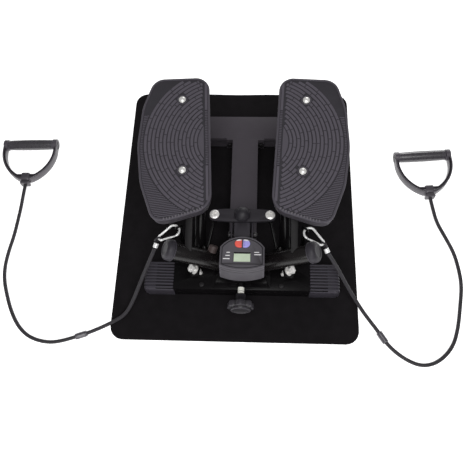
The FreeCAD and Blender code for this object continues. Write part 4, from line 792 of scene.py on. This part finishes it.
def console():
    """The step counter: case, face, display, two buttons and plain bars in place of printed words."""
    outline = console_outline()
    finish(slab("console_case_shell", outline, CASE_WALL), "console_case")
    face = slab("console_face", outline, FACE_WALL)
    cutters = [slab("cut_window", box_outline(0, LCD_MIDDLE, LCD_WIDTH, LCD_LENGTH), CUT_WALL)]
    cutters += [slab("cut_button", button_outline(side, BUTTON_GAP), CUT_WALL) for _label, side in SIDES]
    finish(carve(face, cutters), "console_bezel")
    console_display()
    for node, side in (("red_button", -1), ("blue_button", 1)):
        finish(slab(node + "_cap", button_outline(side, 0), BUTTON_WALL), node)
        patch = even([Vector((side * x, y)) for x, y in BUTTON_MARK], 1.0)
        finish(slab(node + "_mark", patch, BUTTON_MARK_WALL), node, PRINT)
    for index, (x, y, width) in enumerate(FACE_MARKS):
        mark = slab("console_mark_%d" % index, box_outline(x, y, width, 2.1, 0.3), FACE_MARK_WALL)
        finish(mark, "console_bezel", PRINT)


# ---- fasteners ----

ROCKER_BALL = Vector((0.055, -0.07, 0.093))
ROCKER_BOLT = ((-6, 0.05), (-5.2, 3), (-3, 5.2), (0, 6), (3, 5.2), (4.47, 4), (6.9, 4), (6.9, 5.5),
               (8.9, 5.5), (8.9, 4), (15.1, 4), (15.1, 9), (15.4, 9.5), (16.4, 9.6), (17.3, 9.1), (18, 7.8),
               (18.4, 5.6), (18.6, 3), (18.6, 0.05))
CROSS_TURN, CROSS_LENGTH, CROSS_WIDTH, CROSS_FLOOR, CROSS_TOP = 0.5, 11.6, 3.2, 16, 20


def rocker_bolts():
    """Ball studs of the tie rods' joints, with wide domed heads that have a cross recess."""
    for label, side in SIDES:
        middle = mirrored(ROCKER_BALL, side)
        bolt = lathe(label + "_rocker_bolt", ROCKER_BOLT, middle, UP, 56)
        cutters = []
        for turn in (CROSS_TURN, CROSS_TURN + math.pi / 2):
            shape = bmesh.new()
            block(shape, Vector((0, 0)), ray(turn), CROSS_LENGTH / 2, CROSS_WIDTH / 2, CROSS_FLOOR,
                  CROSS_TOP, 0.01)
            place = Matrix.Translation(middle) @ IN_MM
            cutters.append(mesh_object("cut_cross", shape, place))
        finish(carve(bolt, cutters), "rocker_end_bolts")


# ---- knob ----

KNOB_FRONT_Y, KNOB_RADIUS, KNOB_LOBES, KNOB_POINTS, SCREW_Z = -0.248, 26.5, 7, 168, 0.06
VALLEY_DEPTH, VALLEY_SHARPNESS = 2.6, 1.6
# Each ring is its share of the knob's radius, its distance behind the front in mm, and how lobed it is.
KNOB_RINGS = ((0.36, 28.7, 0), (0.38, 28, 0), (0.38, 16, 0), (0.44, 13.4, 0), (0.72, 12.4, 0.3),
              (0.93, 12, 1), (0.985, 11, 1), (1, 9.4, 1), (1, 2.6, 1), (0.985, 1.1, 1), (0.93, 0.2, 1),
              (0.8, 0, 0.8), (0.765, -0.4, 0.2), (0.75, -3.6, 0), (0.73, -4.6, 0), (0.69, -5, 0),
              (0.6, -4.7, 0), (0.56, -3.9, 0), (0.3, -3.4, 0), (0.02, -3.3, 0))
COLLAR_FRONT_Y = -0.219
COLLAR = ((0, 3), (0, 5.6), (0.5, 6.25), (4.6, 6.35), (5, 6.1), (5.5, 6.1), (5.9, 6.35), (13.3, 6.3),
          (13.9, 5.7), (13.9, 3))


def knob_ring(scale, height, lobed):
    """One outline across the knob, with valleys between its lobes."""
    points = []
    for t in turns(KNOB_POINTS):
        valley = (1 - math.cos(KNOB_LOBES * t)) / 2
        radius = KNOB_RADIUS - lobed * (VALLEY_DEPTH * valley + VALLEY_SHARPNESS * valley ** 3)
        points.append(Vector((radius * scale * math.sin(t), radius * scale * math.cos(t), height)))
    return points


def knob():
    """A star knob with rounded lobes, a raised boss in front and a hub behind, and the collar after it."""
    shape = bmesh.new()
    skin(shape, [knob_ring(*ring) for ring in KNOB_RINGS])
    place = along_axis(Vector((0, KNOB_FRONT_Y, SCREW_Z)), REARWARD) @ IN_MM
    finish(mesh_object("star_knob", shape, place, 50), "adjuster_knob")
    collar = lathe("screw_collar", COLLAR, Vector((0, COLLAR_FRONT_Y, SCREW_Z)), REARWARD)
    finish(collar, "adjuster_screw", COLLAR_PALE)


# ---- resistance bands ----

BAND_RADIUS = 0.00375
BAND_ROUTES = {
    "left": ((-0.1683, -0.142, 0.1052), (-0.180, -0.163, 0.089), (-0.198, -0.194, 0.062),
             (-0.216, -0.227, 0.032), (-0.234, -0.252, 0.012), (-0.258, -0.266, 0.0088),
             (-0.281, -0.2775, 0.0069), (-0.3075, -0.2895, 0.0065), (-0.333, -0.2985, 0.0065),
             (-0.3585, -0.306, 0.0041), (-0.3825, -0.310, 0.0039), (-0.4095, -0.306, 0.0039),
             (-0.433, -0.296, 0.0039), (-0.455, -0.276, 0.0039), (-0.474, -0.246, 0.0039),
             (-0.489, -0.212, 0.0039), (-0.5005, -0.180, 0.0039), (-0.505, -0.148, 0.0039),
             (-0.503, -0.114, 0.0039), (-0.498, -0.080, 0.0039), (-0.496, -0.042, 0.0039),
             (-0.494, -0.006, 0.0056), (-0.4922, 0.020, 0.011), (-0.4911, 0.0426, 0.0122)),
    "right": ((0.1664, -0.1462, 0.104), (0.1775, -0.158, 0.092), (0.190, -0.172, 0.076),
              (0.206, -0.192, 0.054), (0.226, -0.214, 0.028), (0.247, -0.240, 0.011),
              (0.270, -0.270, 0.0066), (0.289, -0.300, 0.0065), (0.313, -0.321, 0.0042),
              (0.3385, -0.335, 0.0039), (0.359, -0.338, 0.0039), (0.380, -0.332, 0.0039),
              (0.4005, -0.317, 0.0039), (0.4185, -0.294, 0.0039), (0.4305, -0.260, 0.0039),
              (0.439, -0.219, 0.0039), (0.4475, -0.174, 0.0039), (0.446, -0.138, 0.0039),
              (0.440, -0.101, 0.0039), (0.4265, -0.067, 0.0039), (0.4115, -0.033, 0.0052),
              (0.4046, -0.003, 0.011), (0.4014, 0.0226, 0.0122)),
}
BEAD_RUNS = {"left": 7, "right": 6}     # the bead lies between this point of the route and the next
BEAD = both_ends(((-12, 4.4), (-12, 5.2), (-11.4, 5.9), (-10.2, 6.3), (-9.4, 6.3), (-9, 5.9), (-8.4, 5.9),
                  (-8, 6.3)))
FERRULE = ((0, 3.9), (0, 4.6), (0.4, 5), (2.2, 5), (2.7, 4.6), (3.5, 4.6), (4, 5), (5.2, 5), (5.7, 4.6),
           (6.5, 4.6), (7, 5), (8.6, 5), (9, 4.6), (9, 3.6))
LOOP_CENTRES = {"left": Vector((-0.1629, -0.1271, 0.1118)), "right": Vector((0.1589, -0.1328, 0.1117))}
LOOP_RADIUS, LOOP_POINTS, SLEEVE_RADIUS, SLEEVE_GROOVE = 6.2, 72, 1.9, 1.65
HOOK_EYE = Vector((0.123, -0.104, 0.116))
HOOK_WIDE, HOOK_NARROW, HOOK_OPEN, HOOK_TIP_BACK, HOOK_WIRE, HOOK_NOSE = 11.5, 5.2, 14, 2, 2.2, 1.7
GATE = ((0, 1.0), (0.02, 1.8), (0.08, 2.0), (0.13, 1.6), (0.18, 1.6), (0.23, 2.0), (0.5, 2.0), (0.75, 2.0),
        (0.86, 2.0), (0.92, 1.6), (0.98, 1.9), (1.0, 1.0))          # share of the length, and radius
GATE_PINS = ((0.06, 1.0), (0.92, 1.1))                              # share of the length, and radius
PIN_ENDS = ((-2.1, 0.5), (-1.9, 1.0), (1.9, 1.0), (2.1, 0.5))       # height, and share of the radius


def bead(label):
    """The stop bead on a band: a short barrel with a groove at each end."""
    run = BEAD_RUNS[label]
    start, end = Vector(BAND_ROUTES[label][run]), Vector(BAND_ROUTES[label][run + 1])
    return finish(lathe(label + "_band_bead", BEAD, (start + end) / 2, end - start, 40), "band_beads")


def ferrule(label):
    """A crimped sleeve with three pressed grooves, from the band's start back to its loop."""
    start = Vector(BAND_ROUTES[label][0])
    back = (LOOP_CENTRES[label] - start).normalized()
    return finish(lathe(label + "_band_ferrule", FERRULE, start, back, 40), "band_ferrules")


def hook_turn(label, side):
    """Middle of the anchor's eye, the directions along, across and up of the hook, and its reach."""
    eye = mirrored(HOOK_EYE, side)
    along = LOOP_CENTRES[label] - eye
    x = along.normalized()
    z = (UP - x * UP.dot(x)).normalized()
    return eye, x, z.cross(x), z, along.length / MM


def band_loop(label, side):
    """The band's small end loop in its ribbed sleeve."""
    _eye, x, y, z, _reach = hook_turn(label, side)
    rings = []
    for index, t in enumerate(turns(LOOP_POINTS)):
        out = x * math.cos(t) + z * math.sin(t)
        thick = SLEEVE_RADIUS if index % 3 else SLEEVE_GROOVE
        middle = LOOP_CENTRES[label] + out * LOOP_RADIUS * MM
        rings.append([middle + (out * math.cos(s) + y * math.sin(s)) * thick * MM for s in turns(14)])
    shape = bmesh.new()
    hoop(shape, rings)
    return finish(mesh_object(label + "_band_loop", shape, None, 60), "band_loops")


def carabiner(label, side):
    """Spring hook of bright wire with a thinner nose, and its gate with a rivet and a latch pin."""
    eye, x, y, z, reach = hook_turn(label, side)
    wide, narrow = HOOK_WIDE * side, HOOK_NARROW * side
    shoulder = reach - HOOK_TIP_BACK - HOOK_NARROW

    def world(u, v, w=0.0):
        return eye + (x * u + y * v + z * w) * MM

    flat = [Vector((HOOK_OPEN, -wide))] + three_point_arc((HOOK_WIDE, -wide), (0, 0), (HOOK_WIDE, wide), 22)
    flat += [Vector((HOOK_WIDE, wide)).lerp(Vector((shoulder, narrow)), t) for t in (0.2, 0.4, 0.6, 0.8)]
    flat += three_point_arc((shoulder, narrow), (shoulder + HOOK_NARROW, 0), (shoulder, -narrow), 16)
    radii = [HOOK_NOSE * MM] + [HOOK_WIRE * MM] * (len(flat) - 1)
    shape = bmesh.new()
    wire(shape, [world(p.x, p.y) for p in flat], radii, z)
    finish(mesh_object(label + "_hook_wire", shape, None, 50), label + "_carabiner")
    start, end = Vector((HOOK_OPEN + 0.6, -wide)), Vector((shoulder - 0.6, -narrow))
    shape = bmesh.new()
    wire(shape, [world(*start.lerp(end, t)) for t, _r in GATE], [r * MM for _t, r in GATE], z)
    for t, size in GATE_PINS:
        p = start.lerp(end, t)
        skin(shape, [[world(*(p + ray(k) * r * size), w) for k in turns(12)] for w, r in PIN_ENDS])
    finish(mesh_object(label + "_hook_gate", shape, None, 50), label + "_carabiner_gate")


def band(label, side):
    """The resistance band from its hook to its handle, with the pieces that go with it."""
    curve = bpy.data.curves.new(label + "_band_line", "CURVE")
    curve.dimensions = "3D"
    curve.bevel_depth = BAND_RADIUS
    curve.bevel_resolution = 5
    curve.resolution_u = 14
    curve.use_fill_caps = True
    spline = curve.splines.new("NURBS")
    route = BAND_ROUTES[label]
    spline.points.add(len(route) - 1)
    for point, place in zip(spline.points, route):
        point.co = (*place, 1)
    spline.order_u = 3
    spline.use_endpoint_u = True
    obj = bpy.data.objects.new(label + "_band_line", curve)
    bpy.context.scene.collection.objects.link(obj)
    finish(obj, label + "_band")
    pieces = [bead(label), ferrule(label), band_loop(label, side)]


# ---- handles ----

# Middle of each grip, and the handle's turn on the floor in degrees.
HANDLES = {"left": (Vector((-0.4942, 0.1465, 0.0125)), 1.7), "right": (Vector((0.3932, 0.1262, 0.0125)), 4.5)}
ARM_TOP = 6
OUTER_BOW = (61.5, -22, (45, -67), (12, -94))
INNER_BOW = (54.5, -20, (43, -57), (20, -80))
# Upper half of the frame's I-section: share of the way from outer to inner edge, and height.
BOW_SECTION = ((0, 8.6), (0.05, 9.5), (0.14, 10), (0.36, 10), (0.45, 9.4), (0.5, 8), (0.54, 5), (0.78, 5),
               (0.82, 7.4), (0.88, 8), (0.96, 8), (1, 7.2))
END_RING_X, SPINDLE_HALF, SPINDLE_RADIUS = 58.4, 58, 4
END_RING = ((-3.1, 11.4), (-2.3, 12.4), (6.4, 12.4), (7.2, 11.6))
# The socket's two blocks: place along the handle, half width and half height.
SOCKET_TIP = ((-94.1, 8.6, 7.6), (-95.4, 8.8, 7.9), (-97.8, 9.2, 8.2), (-100.2, 10.3, 8.9), (-102.7, 10.5, 9),
              (-103.7, 10, 8.6), (-104, 9.2, 7.8))
SOCKET_FOOT = ((-77.5, 7.6, 8), (-78.4, 8.6, 10), (-81, 9, 10.8), (-88, 9.2, 10.8), (-93, 9.4, 10),
               (-95, 9, 8))
GRIP_END = ((-51, 4.2), (-51, 10.2), (-50.4, 11), (-48.6, 11.1), (-48.2, 10.7), (-47.4, 10.7), (-47, 11.15))
GRIP_HALF, GRIP_RADIUS, GRIP_TAPER = 51, 12, 1.0


def bow(arm_x, arm_low, bend, foot):
    """One edge of the D: left arm, curve, foot, curve and right arm."""
    left = [Vector((-arm_x, ARM_TOP)), Vector((-arm_x, (ARM_TOP + arm_low) / 2))]
    left += three_point_arc((-arm_x, arm_low), (-bend[0], bend[1]), (-foot[0], foot[1]), 14)
    straight = [Vector((foot[0] * t, foot[1])) for t in (-0.66, -0.33, 0, 0.33, 0.66)]
    return left + straight + [Vector((-p.x, p.y)) for p in reversed(left)]


def round_x(x, radius, sides):
    """A ring round the grip's axis."""
    return [Vector((x, radius * math.cos(t), radius * math.sin(t))) for t in turns(sides)]


def handle_bow(shape):
    """The D-shaped frame, the rings at the grip's ends, and the spindle through the grip."""
    section = BOW_SECTION + tuple((t, -z) for t, z in reversed(BOW_SECTION))
    edges = zip(bow(*OUTER_BOW), bow(*INNER_BOW))
    skin(shape, [[Vector((*outer.lerp(inner, t), z)) for t, z in section] for outer, inner in edges])
    for sign in (-1, 1):
        skin(shape, [round_x(sign * (END_RING_X - s), radius, 48) for s, radius in END_RING])
    skin(shape, [round_x(x, SPINDLE_RADIUS, 24) for x in (-SPINDLE_HALF, SPINDLE_HALF)])


def handle_socket(shape):
    """The two blocks at the frame's foot, where the band goes in."""
    for block_rows in (SOCKET_TIP, SOCKET_FOOT):
        rings = []
        for y, half_x, half_z in block_rows:
            corners = [(a * half_x, b * half_z, 3) for a, b in SQUARE]
            rings.append([Vector((p.x, y, p.y)) for p in rounded(corners, 5)])
        skin(shape, rings)


def handles():
    """D-shaped frames with sockets, and barrelled grips with rings at their ends."""
    barrel = tuple((x, GRIP_RADIUS - GRIP_TAPER * (x / GRIP_HALF) ** 2) for x in range(-44, 45, 4))
    grip = GRIP_END + barrel + tuple((-x, radius) for x, radius in reversed(GRIP_END))
    for label, (middle, degrees) in HANDLES.items():
        turn = Matrix.Rotation(math.radians(degrees), 4, "Z")
        place = Matrix.Translation(middle) @ turn @ IN_MM
        for build, sharp, node in ((handle_bow, 35, "handle_frames"), (handle_socket, 40, "handle_blocks")):
            shape = bmesh.new()
            build(shape)
            finish(mesh_object("%s_%s" % (label, build.__name__), shape, place, sharp), node)
        axis = turn.to_3x3() @ Vector((1, 0, 0))
        finish(lathe(label + "_grip_barrel", grip, middle, axis, 48, 30), label + "_handle_grip")


# ---- everything else ----

SOFT_EDGES = {
    "front_stabilizer": 2.2, "rear_stabilizer": 2.2, "center_beam": 2.5, "axle_bracket": 0.8,
    "rocker_guide": 0.8, "rocker_carrier": 0.8, "rocker_plate": 0.9, "rocker_dome": 0.6,
    "adjuster_block": 0.8, "left_pedal_arm": 1.0, "right_pedal_arm": 1.0, "left_pivot_tube": 0.6,
    "right_pivot_tube": 0.6, "hex_bolts": 0.5, "stop_bolts": 0.6, "left_arm_fasteners": 0.5,
    "right_arm_fasteners": 0.5, "damper_lower_pins": 0.4, "left_damper_cylinder": 0.6,
    "right_damper_cylinder": 0.6, "band_anchors": 0.5, "adjuster_screw": 0.4, "sensor_magnet": 0.6,
    "left_tie_rod": 0.4, "right_tie_rod": 0.4, "cross_head_screws": 0.4, "rocker_pivot_bolt": 0.4,
}
PAINT_VARIANTS = {
    "rocker_plate": MATTE_BLACK, "rocker_carrier": MATTE_BLACK, "rocker_guide": MATTE_BLACK,
    "left_pedal_arm": ARM_BLACK, "right_pedal_arm": ARM_BLACK,
    "left_pivot_tube": TUBE_BLACK, "right_pivot_tube": TUBE_BLACK, "adjuster_screw": MATERIALS["oil_steel"],
}


def remaining_nodes():
    """Rounds the edges of plain parts and gives every CAD node still shown its finish."""
    for node, width in SOFT_EDGES.items():
        softened(node, width * MM, PAINT_VARIANTS.get(node))
    for name, obj in nodes.items():
        if not obj.hide_render:
            obj.data.materials.clear()
            obj.data.materials.append(MATERIALS[SLOT_OF[name]])


# ---- camera, light and floor ----

CAMERA_AZIMUTH, CAMERA_ELEVATION, CAMERA_ROLL = 6.4733, 66.1023, -5.0448
CAMERA_TARGET, CAMERA_DISTANCE, CAMERA_LENS = Vector((-0.0236, -0.06087, 0)), 1.29244, 46.45
SENSOR_WIDTH = 36
LIGHT_TARGET = Vector((0, 0, 0.05))
WORLD_LIGHT, FLOOR_GLOW, WHITE = 0.22, 0.8, (1, 1, 1, 1)
FLOOR_DROP, FLOOR_SIZE = 0.0006, 20
LAMPS = {"main": ((0.15, -1.0, 2.1), 1.7, 30), "front": ((-0.3, -1.5, 0.75), 0.5, 4),
         "rear": ((0.5, 1.9, 0.7), 1.0, 11)}


def add_camera():
    """The camera, aimed at a point on the mat and rolled slightly."""
    azimuth, elevation, roll = (math.radians(a) for a in (CAMERA_AZIMUTH, CAMERA_ELEVATION, CAMERA_ROLL))
    back = Vector((math.sin(azimuth) * math.cos(elevation), -math.cos(azimuth) * math.cos(elevation),
                   math.sin(elevation)))
    right = Vector((math.cos(azimuth), math.sin(azimuth), 0))
    up = back.cross(right)
    rolled_right = right * math.cos(roll) + up * math.sin(roll)
    rolled_up = up * math.cos(roll) - right * math.sin(roll)
    data = bpy.data.cameras.new("camera")
    data.lens = CAMERA_LENS
    data.sensor_width = SENSOR_WIDTH
    camera = bpy.data.objects.new("camera", data)
    turn = Matrix((rolled_right, rolled_up, back)).transposed().to_4x4()
    camera.matrix_world = Matrix.Translation(CAMERA_TARGET + back * CAMERA_DISTANCE) @ turn
    bpy.context.scene.collection.objects.link(camera)
    bpy.context.scene.camera = camera


def add_light(name, place, size, power):
    """A soft round lamp that points at the stepper."""
    data = bpy.data.lights.new(name, "AREA")
    data.shape = "DISK"
    data.size = size
    data.energy = power
    lamp = bpy.data.objects.new(name, data)
    lamp.location = place
    lamp.rotation_euler = (Vector(place) - LIGHT_TARGET).to_track_quat("Z", "Y").to_euler()
    bpy.context.scene.collection.objects.link(lamp)


def studio_floor():
    """A plain pale floor that stays white under soft light."""
    shape = bmesh.new()
    bmesh.ops.create_grid(shape, x_segments=1, y_segments=1, size=FLOOR_SIZE)
    floor = mesh_object("studio_floor", shape, Matrix.Translation((0, 0, -FLOOR_DROP)))
    white = surface("studio_floor", (250, 250, 250), 0.9, 60, 0.0, 0.004)
    shader = white.node_tree.nodes["Principled BSDF"]
    feed(white.node_tree, shader, {"Emission Color": WHITE, "Emission Strength": FLOOR_GLOW})
    floor.data.materials.append(white)


def add_studio():
    """Even light from all round, three soft lamps and the floor."""
    world = bpy.data.worlds.new("studio")
    world.use_nodes = True
    background = world.node_tree.nodes["Background"]
    feed(world.node_tree, background, {"Color": WHITE, "Strength": WORLD_LIGHT})
    bpy.context.scene.world = world
    bpy.context.scene.view_settings.view_transform = "Standard"
    for name, (place, size, power) in LAMPS.items():
        add_light(name, place, size, power)
    studio_floor()


floor_mat()
end_caps()
tube_caps()
pedals()
console()
rocker_bolts()
knob()
for label, side in SIDES:
    band(label, side)
    carabiner(label, side)
handles()
remaining_nodes()
add_camera()
add_studio()
